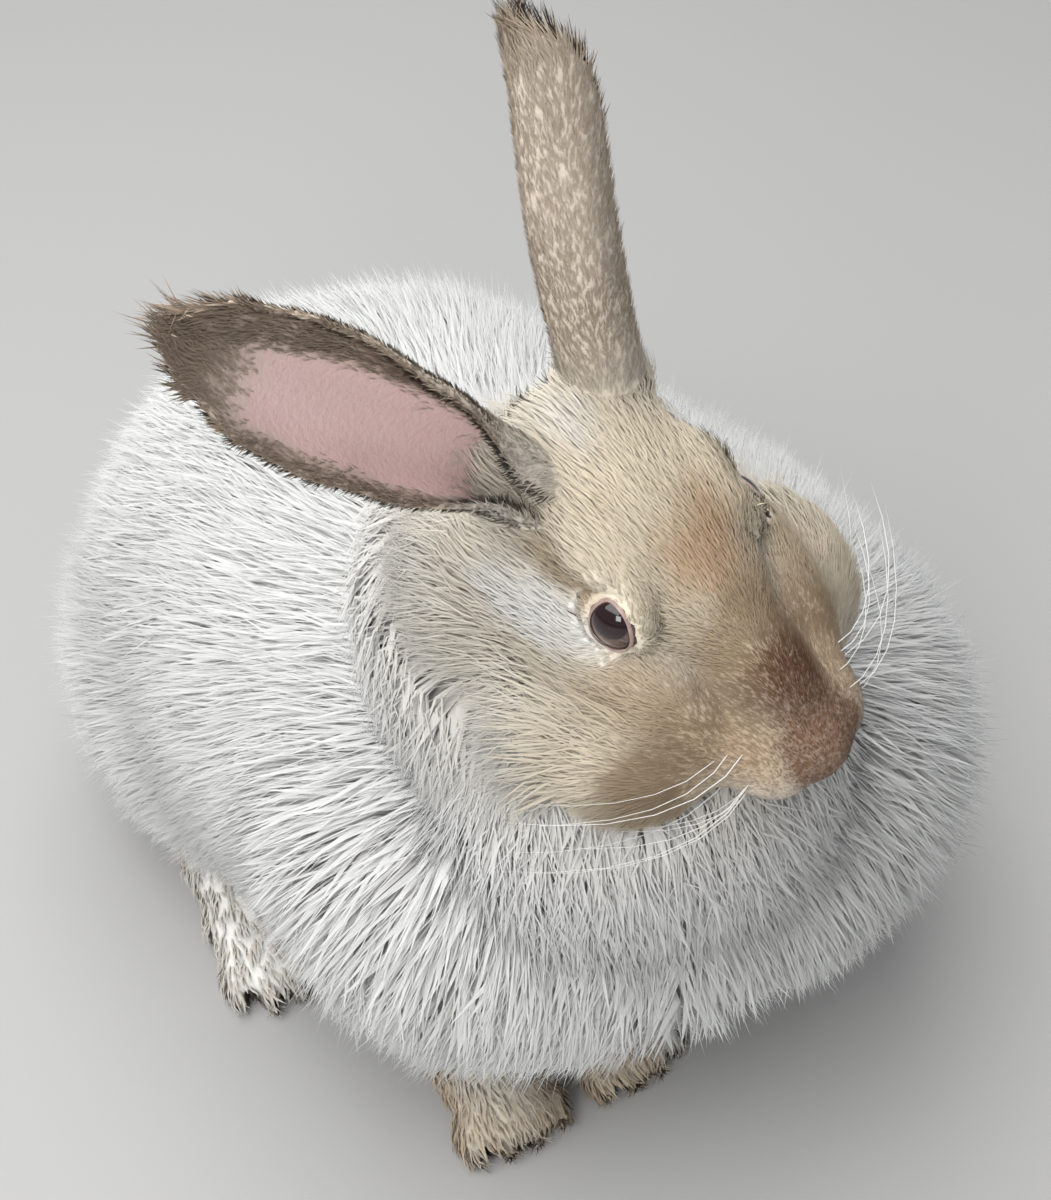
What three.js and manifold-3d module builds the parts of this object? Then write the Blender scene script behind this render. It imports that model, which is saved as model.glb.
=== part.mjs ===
// Angora rabbit, sitting with its head turned to its left, one ear up and one ear out to the side.
// Life-size still model in millimetres, +Z up. The rabbit faces -Y and its left side is +X.
// The body is modelled as smooth blends of ellipsoids, and the wool as locks that grow from a core.
import * as THREE from "three";
import { mergeVertices } from "three/addons/utils/BufferGeometryUtils.js";
import Module from "manifold-3d";

const wasm = await Module();
wasm.setup();

// Driving sizes of the whole animal
const FLOOR = 0;
const GAP = 0.3; // kept between parts that touch
const BODY_TURN = 8; // degrees between the rabbit's spine and the Y axis
const WIDEST = 95; // height at which the woolly body is widest; below it the coat hangs
const HANG = 0.78; // the share of its true height below the widest level that the round shape uses
const BELLY = 24; // height of the flat underside of the trunk's core
const WOOL_DEPTH = 36; // from the core of the coat out to the tips of its locks
const ROOT_SUNK = 7; // how deep a lock is rooted in its core
const HEM_FRONT = 24; // height of the coat's lower edge above the forefeet
const HEM_BACK = 6; // and behind them

const HEAD_CENTRE = new THREE.Vector3(10, -88.5, 227); // just behind the middle between the eyes
const HEAD_TURN = 27; // degrees to the rabbit's left
const HEAD_NOD = 27; // degrees nose down
const HEAD_TILT = -16; // degrees about the head's long axis, so that its crown leans to the right

const EYE_RADIUS = 9;
const EYE_OUT = 17.5; // from the head's middle plane to the centre of the eye
const EYE_AHEAD = 7; // how far in front of the head's centre the eyes sit, and how high above it
const EYE_HIGH = 5.3;
const LID_THICKNESS = 3.4;
const LIP_GROOVE = 1; // radius of the grooves that draw the mouth
const EAR_LENGTH = 100;
const EAR_WALL = 2.6;
const EAR_ROOTED = 6; // how far an ear runs on into the head

// Vectors and seeded chance

const vec = (x, y, z) => new THREE.Vector3(x, y, z);
const DOWN = vec(0, 0, -1);
const rad = THREE.MathUtils.degToRad;

function chance(seed) {
  let state = seed;
  return () => {
    state = (state + 0x6d2b79f5) | 0;
    let t = Math.imul(state ^ (state >>> 15), 1 | state);
    t = (t + Math.imul(t ^ (t >>> 7), 61 | t)) ^ t;
    return ((t ^ (t >>> 14)) >>> 0) / 4294967296;
  };
}

// Closed meshes and solids

const WELD = 1e-3; // points closer than this are one point

function solidOf(geometry) {
  const bare = geometry.clone();
  bare.deleteAttribute("normal");
  bare.deleteAttribute("uv");
  const merged = mergeVertices(bare, WELD);
  return new wasm.Manifold(
    new wasm.Mesh({
      numProp: 3,
      vertProperties: merged.attributes.position.array,
      triVerts: new Uint32Array(merged.index.array),
    }),
  );
}

const join = (solids) => solids.reduce((whole, piece) => whole.add(piece));
const carve = (solid, ...cutters) => cutters.reduce((rest, cutter) => rest.subtract(cutter), solid);

function geometryOf(solid) {
  const mesh = solid.getMesh();
  const positions = new Float32Array(mesh.numVert * 3);
  for (let i = 0; i < mesh.numVert; i++) {
    positions.set(mesh.vertProperties.subarray(i * mesh.numProp, i * mesh.numProp + 3), i * 3);
  }
  const geometry = new THREE.BufferGeometry();
  geometry.setAttribute("position", new THREE.BufferAttribute(positions, 3));
  geometry.setIndex(new THREE.BufferAttribute(mesh.triVerts, 1));
  return geometry;
}

// The largest of a solid's pieces, once its points are welded, so that none hangs on by a sliver.
function largest(solid) {
  const welded = solidOf(geometryOf(solid));
  return welded.decompose().reduce((best, piece) => (piece.volume() > best.volume() ? piece : best));
}

// Skin over a row of rings that hold the same number of points; a ring of one point is a tip.
function loft(rings, loop = false) {
  const positions = [];
  const starts = rings.map((ring) => {
    const start = positions.length / 3;
    ring.forEach((p) => positions.push(p.x, p.y, p.z));
    return start;
  });
  const faces = [];
  const spans = loop ? rings.length : rings.length - 1;
  for (let i = 0; i < spans; i++) {
    const j = (i + 1) % rings.length;
    const [a, b] = [starts[i], starts[j]];
    const count = Math.max(rings[i].length, rings[j].length);
    for (let k = 0; k < count; k++) {
      const n = (k + 1) % count;
      if (rings[j].length === 1) faces.push(a + k, a + n, b);
      else if (rings[i].length === 1) faces.push(a, b + n, b + k);
      else faces.push(a + k, a + n, b + n, a + k, b + n, b + k);
    }
  }
  if (!loop) {
    const [first, last] = [starts[0], starts[rings.length - 1]];
    for (let k = 1; k < rings[0].length - 1; k++) faces.push(first, first + k + 1, first + k);
    for (let k = 1; k < rings[rings.length - 1].length - 1; k++) faces.push(last, last + k, last + k + 1);
  }
  const geometry = new THREE.BufferGeometry();
  geometry.setAttribute("position", new THREE.BufferAttribute(new Float32Array(positions), 3));
  geometry.setIndex(faces);
  return geometry;
}

// A lofted solid whose faces point out, whichever way its rings run.
function loftedSolid(rings, loop = false) {
  const solid = solidOf(loft(rings, loop));
  if (solid.volume() > 0) return solid;
  return solidOf(loft(rings.map((ring) => [...ring].reverse()), loop));
}

// A round tube along a list of points, with one radius for each point.
function tube(points, radii, sides = 6, loop = false) {
  const curve = new THREE.CatmullRomCurve3(points, loop);
  const last = points.length - (loop ? 0 : 1);
  const frames = curve.computeFrenetFrames(points.length - 1, false);
  const rings = points.map((p, i) => {
    const along = curve.getTangent(i / last).normalize();
    const side = frames.normals[i].clone().cross(along).normalize();
    const up = along.clone().cross(side).normalize();
    return Array.from({ length: sides }, (_, k) => {
      const a = (k / sides) * 2 * Math.PI;
      const [x, y] = [radii[i] * Math.cos(a), radii[i] * Math.sin(a)];
      return p.clone().addScaledVector(side, x).addScaledVector(up, y);
    });
  });
  return loftedSolid(rings, loop);
}

// Smooth bodies: a field is below 0 inside the body, and about its distance in mm outside

// An ellipsoid: centre, radii, and its nose-down tilt and turn about Z in degrees.
function ellipsoid(centre, radii, tilt = 0, turn = 0) {
  const turned = new THREE.Quaternion().setFromEuler(new THREE.Euler(rad(tilt), 0, rad(turn), "ZYX"));
  turned.invert();
  return (p) => {
    const q = p.clone().sub(centre).applyQuaternion(turned);
    const near = q.clone().divide(radii).length();
    const slope = q.clone().divide(radii).divide(radii).length();
    return slope > 1e-9 ? (near * (near - 1)) / slope : -Math.min(radii.x, radii.y, radii.z);
  };
}

// Ellipsoids melted together over about `soft` millimetres.
function melt(fields, soft) {
  return (p) => -soft * Math.log(fields.reduce((sum, field) => sum + Math.exp(-field(p) / soft), 0));
}

const bothSides = (make) => [make(1), make(-1)];

function normalAt(field, p) {
  const step = 0.5;
  const slope = (axis) => {
    const [a, b] = [p.clone(), p.clone()];
    a[axis] += step;
    b[axis] -= step;
    return field(a) - field(b);
  };
  return vec(slope("x"), slope("y"), slope("z")).normalize();
}

// The point straight out or in from p that lies `height` outside the body, found in a few steps.
function onBody(field, p, height = 0, steps = 6) {
  const q = p.clone();
  for (let i = 0; i < steps; i++) q.addScaledVector(normalAt(field, q), height - field(q));
  return q;
}

// A closed skin round a centre: the points of a ball, each moved along its ray to the body's surface.
function blob(field, centre, detail, height = 0, stretch = vec(1, 1, 1)) {
  const ball = new THREE.IcosahedronGeometry(1, detail);
  ball.deleteAttribute("normal");
  ball.deleteAttribute("uv");
  const skin = mergeVertices(ball, WELD);
  const place = skin.attributes.position;
  const farthest = 320;
  const stride = 3;
  const halvings = 14;
  for (let i = 0; i < place.count; i++) {
    const ray = vec(place.getX(i), place.getY(i), place.getZ(i)).multiply(stretch).normalize();
    const at = (r) => field(centre.clone().addScaledVector(ray, r)) - height;
    let outside = stride;
    while (outside < farthest && at(outside) < 0) outside += stride;
    let inside = outside - stride;
    for (let k = 0; k < halvings; k++) {
      const middle = (inside + outside) / 2;
      if (at(middle) < 0) inside = middle;
      else outside = middle;
    }
    place.setXYZ(i, ...centre.clone().addScaledVector(ray, outside));
  }
  return solidOf(skin);
}

// Everything below a height, as a cutter.
function below(z) {
  const size = 900;
  return solidOf(new THREE.BoxGeometry(size, size, size).translate(0, 0, z - size / 2));
}

// The head, in its own frame: -Y runs to the nose, +X to its left, +Z up, from just behind the eyes

const headPlace = new THREE.Matrix4().compose(
  HEAD_CENTRE,
  new THREE.Quaternion().setFromEuler(new THREE.Euler(rad(HEAD_NOD), rad(HEAD_TILT), rad(HEAD_TURN), "ZXY")),
  vec(1, 1, 1),
);
const headBack = headPlace.clone().invert();
const fromHead = (x, y, z) => vec(x, y, z).applyMatrix4(headPlace);
const alongHead = (x, y, z) => vec(x, y, z).transformDirection(headPlace);

const flesh = melt(
  [
    ellipsoid(vec(0, 12, 4), vec(24, 30, 21)),
    ellipsoid(vec(0, -9, 4), vec(19, 25, 15), 10),
    ellipsoid(vec(0, -36, -6), vec(14, 27, 13), 16),
    ellipsoid(vec(0, -60, -14), vec(10.5, 11, 10)),
    ellipsoid(vec(0, -30, -28), vec(12, 28, 12), 4),
    ellipsoid(vec(0, -50, -28), vec(8, 10, 7)),
    ellipsoid(vec(0, 12, -28), vec(24, 26, 24)),
    ...bothSides((s) => ellipsoid(vec(10.5 * s, -52, -17), vec(12, 16, 11))),
    ...bothSides((s) => ellipsoid(vec(20 * s, -15, -19), vec(16, 39, 23), 6, -3 * s)),
    ...bothSides((s) => ellipsoid(vec(20 * s, 14, -23), vec(16, 22, 24))),
    ...bothSides((s) => ellipsoid(vec(16 * s, -16, -38), vec(14, 22, 20))),
    ...bothSides((s) => ellipsoid(vec(26 * s, -27, -30), vec(24, 26, 18), 0, -8 * s)),
    ...bothSides((s) => ellipsoid(vec(16.5 * s, -1, 13.5), vec(8.5, 13, 6.5))),
    ...bothSides((s) => ellipsoid(vec(15 * s, 31, 10), vec(11, 12, 11))),
  ],
  2.6,
);
const orbits = melt(bothSides((s) => ellipsoid(vec(31.5 * s, -8, 12.3), vec(9.6, 9.6, 9.6))), 1);
const skull = (p) => -melt([(q) => -flesh(q), orbits], 1.6)(p);
const headField = (p) => skull(p.clone().applyMatrix4(headBack));

// One eye ball, a little larger where it is used to cut the socket.
const eyeCentre = (side) => fromHead(EYE_OUT * side, -EYE_AHEAD, EYE_HIGH);
function eyeBall(side, extra = 0) {
  const ball = new THREE.IcosahedronGeometry(EYE_RADIUS + extra, 2);
  return solidOf(ball.translate(...eyeCentre(side)));
}

// The rim of the lids: an almond ring that lies on the eye ball, low at the nose side and high behind.
function lids(side) {
  const steps = 18;
  const halfLength = 7.7;
  const halfHeight = 6;
  const slant = rad(48);
  const pinched = 0.22; // how much narrower the almond gets at its two corners
  const outward = alongHead(0.88 * side, -0.14, 0.4);
  const forward = alongHead(0, -1, 0).projectOnPlane(outward).normalize();
  const upward = alongHead(0, 0, 1).projectOnPlane(outward).projectOnPlane(forward).normalize();
  const ring = Array.from({ length: steps }, (_, k) => {
    const a = (k / steps) * 2 * Math.PI;
    const [l, h] = [halfLength * Math.cos(a), halfHeight * (1 - pinched * Math.cos(a) ** 4) * Math.sin(a)];
    const across = l * Math.cos(slant) + h * Math.sin(slant);
    const high = h * Math.cos(slant) - l * Math.sin(slant);
    const depth = Math.sqrt(Math.max(1, EYE_RADIUS ** 2 - across ** 2 - high ** 2));
    return eyeCentre(side)
      .addScaledVector(forward, across)
      .addScaledVector(upward, high)
      .addScaledVector(outward, depth);
  });
  return tube(ring, ring.map(() => LID_THICKNESS / 2), 6, true);
}

// A groove that follows the head's surface through points given in the head's frame, finer at its ends.
function groove(points) {
  const path = points.map(([x, y, z]) => onBody(headField, fromHead(x, y, z)));
  const radii = path.map((_, i) => (i === 0 || i === path.length - 1 ? LIP_GROOVE / 2 : LIP_GROOVE));
  return tube(path, radii, 6);
}

// The cleft below the nose, and the line between the lips on each side of it.
function mouth() {
  const cleft = groove([[0, -75, -19], [0, -75, -23], [0, -73, -27]]);
  const lip = (s) => groove([[0, -72, -27], [5 * s, -69, -29], [10 * s, -61, -29], [13 * s, -52, -27]]);
  return join([cleft, ...bothSides(lip)]);
}

// A slit beside the nose, high outside and low towards the cleft.
function nostril(side) {
  const slit = new THREE.SphereGeometry(1, 10, 6).scale(1.2, 2.2, 3.6);
  slit.rotateY(rad(-38 * side)).applyMatrix4(new THREE.Matrix4().extractRotation(headPlace));
  return solidOf(slit.translate(...onBody(headField, fromHead(4.2 * side, -73, -14))));
}

// Each ear is a rolled blade: nearly a tube at its root, wide in the middle and rounded at its tip.
// The roll is the blade's radius and the blade its half width, both at shares of the ear's length.

const EARS = {
  ear_right: {
    root: fromHead(-17, 28, 15),
    axis: vec(-69, -9, 65),
    opening: vec(0.15, -0.97, -0.1),
    bow: 4,
    roll: [[0, 10], [0.12, 10], [0.45, 15], [0.7, 18], [1, 18]],
    blade: [[0, 28], [0.12, 27], [0.35, 27], [0.55, 26], [0.75, 21], [0.9, 13], [1, 4]],
  },
  ear_left: {
    root: fromHead(16, 30, 8),
    axis: vec(-14, 7, 97),
    opening: vec(0.9, 0.4, 0.1),
    bow: 3,
    roll: [[0, 10], [0.12, 10], [0.5, 10], [0.8, 10], [1, 10]],
    blade: [[0, 28], [0.12, 27], [0.35, 25], [0.6, 23.5], [0.8, 20.5], [0.92, 16.5], [1, 9]],
  },
};

// The height of a smooth line through [place, height] pairs.
const along = (pairs, u) => {
  const last = pairs.length - 1;
  let k = 0;
  while (k < last - 1 && u > pairs[k + 1][0]) k++;
  const [[u0, h0], [u1, h1]] = [pairs[k], pairs[k + 1]];
  return THREE.MathUtils.lerp(h0, h1, THREE.MathUtils.smoothstep(u, u0, u1));
};

function ear({ root, axis, opening, bow, roll, blade }, grow = 0) {
  const up = axis.clone().normalize();
  const face = opening.clone().projectOnPlane(up).normalize();
  const across = up.clone().cross(face);
  const rows = 13;
  const columns = 7;
  const closest = rad(158); // the rolled edges stay this far round from the back's middle line
  const rings = [];
  for (let i = 0; i <= rows; i++) {
    const u = 1 - (1 - i / rows) ** 1.35; // rows lie closer together near the tip
    const radius = along(roll, u);
    const spread = Math.min(closest, along(blade, u) / radius);
    const middle = root
      .clone()
      .addScaledVector(up, EAR_LENGTH * u - EAR_ROOTED * (1 - u))
      .addScaledVector(face, radius - roll[0][1] - bow * Math.sin(Math.PI * u));
    const [filled, open] = [radius * 0.8, EAR_WALL * (1 - 0.3 * u)]; // the wall inside the root, and above it
    const wall = THREE.MathUtils.lerp(filled, open, THREE.MathUtils.smoothstep(u, 0.04, 0.3));
    const arc = (r, k) => {
      const a = spread * (1 - (2 * k) / (columns - 1));
      return middle.clone().addScaledVector(face, -r * Math.cos(a)).addScaledVector(across, r * Math.sin(a));
    };
    const back = Array.from({ length: columns }, (_, k) => arc(radius + grow, k));
    const front = Array.from({ length: columns }, (_, k) => arc(radius - wall - grow, columns - 1 - k));
    rings.push([...back, ...front]);
  }
  return loftedSolid(rings);
}

// Wool: every part of the coat is a core with locks that lie along it, down and back

const spineBack = vec(-Math.sin(rad(BODY_TURN)), Math.cos(rad(BODY_TURN)), 0);

// The height of the coat's lower edge: it rises again ahead of the chest, a millimetre for each millimetre.
function hemAt(p) {
  const [behind, above, ahead] = [-10, -70, -86];
  const share = THREE.MathUtils.smoothstep(p.y, above, behind);
  return THREE.MathUtils.lerp(HEM_FRONT, HEM_BACK, share) + Math.max(0, ahead - p.y);
}

// Keeps a point above the hem, easing it in so that what hangs there stays a little thick.
function aboveHem(p, hem) {
  const soft = 3;
  const spare = (p.z - hem) / soft;
  p.z = hem + soft * (spare > 20 ? spare : Math.log(1 + Math.exp(spare)));
  return p;
}

// One lock: a flat blade with a low ridge, sunk at its root and drawn out to a point at its tip.
// Each station has its share of the length, its rise as a share of the depth, and its share of the width.
const LOCK_STATIONS = [
  { share: 0, rise: -1, wide: 0.75 },
  { share: 0.28, rise: 0.58, wide: 1 },
  { share: 0.64, rise: 0.9, wide: 0.82 },
  { share: 1, rise: 1, wide: 0 },
];

function lock({ surface, lie, hem }, root, { length, width, depth, thick, sway }, grow) {
  let at = root.clone();
  let gone = 0;
  const rings = LOCK_STATIONS.map(({ share, rise, wide }) => {
    const out = normalAt(surface, at);
    const way = lie(at).projectOnPlane(out).normalize().applyAxisAngle(out, sway);
    at.addScaledVector(way, length * (share - gone));
    gone = share;
    const high = rise < 0 ? -ROOT_SUNK : rise * depth;
    at = onBody(surface, at, high);
    const up = normalAt(surface, at);
    const side = way.clone().cross(up).normalize();
    if (wide === 0) return [aboveHem(at.clone().addScaledVector(way, 2 * grow), hem(at) - grow)];
    const half = (width / 2) * wide + grow;
    const deep = (thick / 2) * Math.sqrt(wide) + grow;
    const edge = (reach) => onBody(surface, at.clone().addScaledVector(side, reach), high - deep, 3);
    return [edge(half), at.clone().addScaledVector(up, deep), edge(-half)].map((corner) =>
      aboveHem(corner, hem(corner) - grow),
    );
  });
  return loftedSolid(rings);
}

// A lock with less than this share of its length times width times thickness is folded, and is left out.
const FOLDED = 0.16;

// A coat: roots spread evenly over the core as seen from its centre, each with a lock of its own size.
function coatOf(body, grow = 0) {
  const random = chance(body.seed);
  const vary = (middle, share) => middle * (1 + share * (2 * random() - 1));
  const golden = Math.PI * (3 - Math.sqrt(5));
  const solids = [body.core(grow)];
  for (let i = 0; i < body.locks; i++) {
    const high = 1 - (2 * (i + 0.5)) / body.locks;
    const turn = golden * i + 0.35 * (random() - 0.5);
    const round = Math.sqrt(1 - high * high);
    const ray = vec(round * Math.cos(turn), round * Math.sin(turn), high).multiply(body.stretch).normalize();
    const size = {
      length: vary(body.length, 0.16),
      width: vary(body.width, 0.14),
      depth: vary(body.depth, 0.05) * (i % 2 ? 1 : 0.85), // every other lock lies under its neighbours
      thick: body.thick,
      sway: 0.22 * (2 * random() - 1),
    };
    const root = onBody(body.field, body.centre.clone().addScaledVector(ray, body.radius));
    if (!body.bears(root)) continue;
    const grown = lock(body, root, size, grow);
    if (grown.volume() > FOLDED * size.length * size.width * size.thick) solids.push(grown);
  }
  return join(solids);
}

const trunkShape = melt(
  [
    ellipsoid(vec(2, 60, 92), vec(72, 86, 60), 0, BODY_TURN),
    ellipsoid(vec(32, -42, 92), vec(90, 66, 48), 0, BODY_TURN),
    ellipsoid(vec(14, 14, 96), vec(76, 66, 52), 0, BODY_TURN),
  ],
  8,
);

// Below its widest level the shape is drawn out downwards, so that the coat hangs steeply to its hem.
const hanging = (p) => (p.z < WIDEST ? vec(p.x, p.y, WIDEST - (WIDEST - p.z) * HANG) : p);
const trunkField = (p) => trunkShape(hanging(p));
const TRUNK_CENTRE = vec(14, 8, 95);

const neckField = melt(
  [
    ellipsoid(vec(3, -50, 178), vec(34, 36, 32)),
    ellipsoid(vec(16, -82, 140), vec(38, 26, 36)),
  ],
  8,
);
const NECK_CENTRE = vec(8, -60, 168);

// Thighs bulge from the flanks

const THIGHS = {
  hindleg_right: { centre: vec(-58, 62, 62), turn: BODY_TURN, side: -1 },
  hindleg_left: { centre: vec(58, 78, 62), turn: BODY_TURN, side: 1 },
};
const thighField = ({ centre, turn }) => ellipsoid(centre, vec(26, 48, 34), 0, turn);

// A foot: an instep, a ball and four toes side by side, cut flat where it stands
function foot({ middle, turn, length, width, height, toe }) {
  const put = (field) => (p) => field(p.clone().sub(middle).applyAxisAngle(vec(0, 0, 1), rad(-turn)));
  const pad = put(
    melt(
      [
        ellipsoid(vec(0, length * 0.08, height * 0.4), vec(width * 0.44, length * 0.42, height * 0.6)),
        ellipsoid(vec(0, -length * 0.18, height * 0.34), vec(width * 0.48, length * 0.27, height * 0.5)),
      ],
      3,
    ),
  );
  const toes = [-0.75, -0.25, 0.25, 0.75].map((across) => {
    const reach = length * (0.5 - 0.09 * across * across) - toe.y;
    const centre = vec(across * width * 0.5, -reach, toe.z * 0.78);
    const field = put(ellipsoid(centre, toe, 10, 14 * across));
    return blob(field, centre.clone().applyAxisAngle(vec(0, 0, 1), rad(turn)).add(middle), 1);
  });
  return join([blob(pad, middle.clone().add(vec(0, 0, height * 0.45)), 2, 0, vec(1, 1.6, 1)), ...toes])
    .subtract(below(FLOOR));
}

const FOREFOOT = { length: 50, width: 36, height: 27, toe: vec(5.2, 10, 8.5) };
const HINDFOOT = { length: 106, width: 34, height: 24, toe: vec(5, 12, 8.5) };
const FEET = {
  forefoot_right: { ...FOREFOOT, middle: vec(-31, -81, 0), turn: 4 },
  forefoot_left: { ...FOREFOOT, middle: vec(11, -76, 0), turn: 12 },
  hindfoot_right: { ...HINDFOOT, middle: vec(-78, 26, 0), turn: 1 },
  hindfoot_left: { ...HINDFOOT, middle: vec(80, 48, 0), turn: 14 },
};

// Forelegs: columns from the chest to the feet
const FORELEGS = {
  foreleg_right: vec(-29, -72, 0),
  foreleg_left: vec(14, -66, 0),
};
function forelegField(spot) {
  const upper = ellipsoid(spot.clone().add(vec(0, 4, 72)), vec(17, 17, 32));
  const lower = ellipsoid(spot.clone().add(vec(0, 0, 38)), vec(14, 15, 22));
  return melt([upper, lower], 4);
}

const TAIL_CENTRE = vec(-16, 150, 58);
const tailField = ellipsoid(TAIL_CENTRE, vec(20, 18, 28), -14, BODY_TURN);

// The surface that all the locks lie along, whichever part they grow on
const woolField = melt([trunkField, neckField, ...Object.values(THIGHS).map(thighField)], 6);

// The woolly bodies: where locks grow on each, which way they lie, and how large they are

const flow = (back, down, outward = 0) => (p) =>
  spineBack.clone().multiplyScalar(back).add(vec(outward * Math.sign(p.x - 8), 0, -down));

const thighBody = (leg) => ({
  field: thighField(leg),
  surface: woolField,
  centre: leg.centre,
  radius: 40,
  stretch: vec(0.7, 1.1, 1),
  core: (grow) => blob(thighField(leg), leg.centre, 3, grow).subtract(below(10 - grow)),
  bears: (p) => (p.x - leg.centre.x) * leg.side > 0 && trunkField(p) > 2 && p.z > 30,
  lie: flow(0.75, 0.8),
  hem: hemAt,
  locks: 18,
  seed: leg.side > 0 ? 21 : 22,
  length: 92,
  width: 52,
  depth: 33,
  thick: 8,
});

const neckBody = {
  field: neckField,
  surface: woolField,
  centre: NECK_CENTRE,
  radius: 44,
  stretch: vec(1, 1, 1),
  core: (grow) => blob(neckField, NECK_CENTRE, 3, grow),
  bears: (p) => headField(p) > 2 && p.z > 112,
  lie: (p) => vec(p.x - 10, p.y + 74, 0).normalize().multiplyScalar(0.7).add(vec(0, 0, -1)),
  hem: hemAt,
  locks: 24,
  seed: 32,
  length: 84,
  width: 44,
  depth: 20,
  thick: 8,
};

const trunkBody = {
  field: trunkField,
  surface: woolField,
  centre: TRUNK_CENTRE,
  radius: 100,
  stretch: vec(0.85, 1.15, 0.8),
  core: (grow) => blob(trunkField, TRUNK_CENTRE, 4, grow).subtract(below(BELLY - grow)),
  bears: (p) =>
    p.z > 44 &&
    neckField(p) > 16 &&
    headField(p) > 12 &&
    Object.values(THIGHS).every((leg) => thighField(leg)(p) > 4) &&
    tailField(p) > 4,
  lie: (p) => {
    const chest = 1 - THREE.MathUtils.smoothstep(p.y, -90, -20);
    return flow(0.85 - 0.7 * chest, 0.7 + 0.2 * chest, 0.1 + 0.25 * chest)(p);
  },
  hem: hemAt,
  locks: 70,
  seed: 15,
  length: 100,
  width: 66,
  depth: WOOL_DEPTH,
  thick: 8,
};

const forelegBody = (spot) => ({
  field: forelegField(spot),
  surface: forelegField(spot),
  centre: spot.clone().add(vec(0, 2, 52)),
  radius: 20,
  stretch: vec(1, 1, 1.2),
  core(grow) {
    return blob(this.field, this.centre, 2, grow, vec(1, 1, 2)).subtract(below(12 - grow));
  },
  bears: (p) => trunkField(p) > 5 && p.z > 34,
  lie: () => DOWN.clone(),
  hem: () => 15,
  locks: 12,
  seed: 51,
  length: 32,
  width: 24,
  depth: 9,
  thick: 6,
});

const tailBody = {
  field: tailField,
  surface: tailField,
  centre: TAIL_CENTRE,
  radius: 24,
  stretch: vec(1, 1, 1),
  core: (grow) => blob(tailField, TAIL_CENTRE, 2, grow),
  bears: (p) => p.y > TAIL_CENTRE.y,
  lie: (p) => p.clone().sub(TAIL_CENTRE).add(vec(0, 0, -18)),
  hem: hemAt,
  locks: 8,
  seed: 41,
  length: 44,
  width: 26,
  depth: 12,
  thick: 6,
};

// Putting the parts together: each later part is cut clear of those already there

const sockets = bothSides((s) => eyeBall(s, GAP));
const headWhole = (grow) => blob(headField, fromHead(0, -10, -6), 8, grow);
const head = carve(join([headWhole(0), ...bothSides(lids)]), mouth(), ...bothSides(nostril), ...sockets);
const headClear = join([headWhole(GAP), ...bothSides(lids), ...bothSides((s) => eyeBall(s, 1))]);

const parts = { head, eye_left: eyeBall(1), eye_right: eyeBall(-1) };
const cleared = [headClear];

// Adds a part, cut clear of all the parts before it. It and its slightly grown twin cut those that follow.
function add(name, solid, grown = solid) {
  parts[name] = largest(carve(solid, ...cleared));
  cleared.push(solid.add(grown));
}

for (const [name, shape] of Object.entries(EARS)) add(name, ear(shape), ear(shape, GAP));
for (const [name, shape] of Object.entries(FEET)) add(name, foot(shape), foot(shape));
add("neck", coatOf(neckBody), coatOf(neckBody, GAP));
for (const [name, leg] of Object.entries(THIGHS)) {
  add(name, coatOf(thighBody(leg)), coatOf(thighBody(leg), GAP));
}
for (const [name, spot] of Object.entries(FORELEGS)) {
  add(name, coatOf(forelegBody(spot)), coatOf(forelegBody(spot), GAP));
}
add("torso", coatOf(trunkBody), coatOf(trunkBody, GAP));
add("tail", coatOf(tailBody));

// Colours and the tree of named meshes

const coat = (color, roughness) => new THREE.MeshStandardMaterial({ color, roughness, metalness: 0 });
const WOOL = coat(0xf4f1ea, 0.95);
const FAWN = coat(0xc9a67e, 0.85);
const PALE_FAWN = coat(0xe3cdb0, 0.9);
const EYE = new THREE.MeshStandardMaterial({ color: 0x2a1614, roughness: 0.08, metalness: 0 });
const MATERIALS = {
  head: FAWN,
  ear_left: FAWN,
  ear_right: FAWN,
  eye_left: EYE,
  eye_right: EYE,
  forefoot_left: PALE_FAWN,
  forefoot_right: PALE_FAWN,
  hindfoot_left: PALE_FAWN,
  hindfoot_right: PALE_FAWN,
};

const rabbit = new THREE.Group();
for (const [name, solid] of Object.entries(parts)) {
  const mesh = new THREE.Mesh(geometryOf(solid), MATERIALS[name] ?? WOOL);
  mesh.name = name;
  rabbit.add(mesh);
}

// The origin goes to the middle of the footprint, on the floor.
const box = new THREE.Box3().setFromObject(rabbit);
rabbit.position.set(-(box.min.x + box.max.x) / 2, -(box.min.y + box.max.y) / 2, -box.min.z);
rabbit.updateMatrixWorld(true);

export default rabbit;
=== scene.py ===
import math

import bpy
import numpy as np
from mathutils import Matrix, Vector
from mathutils.kdtree import KDTree


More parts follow.
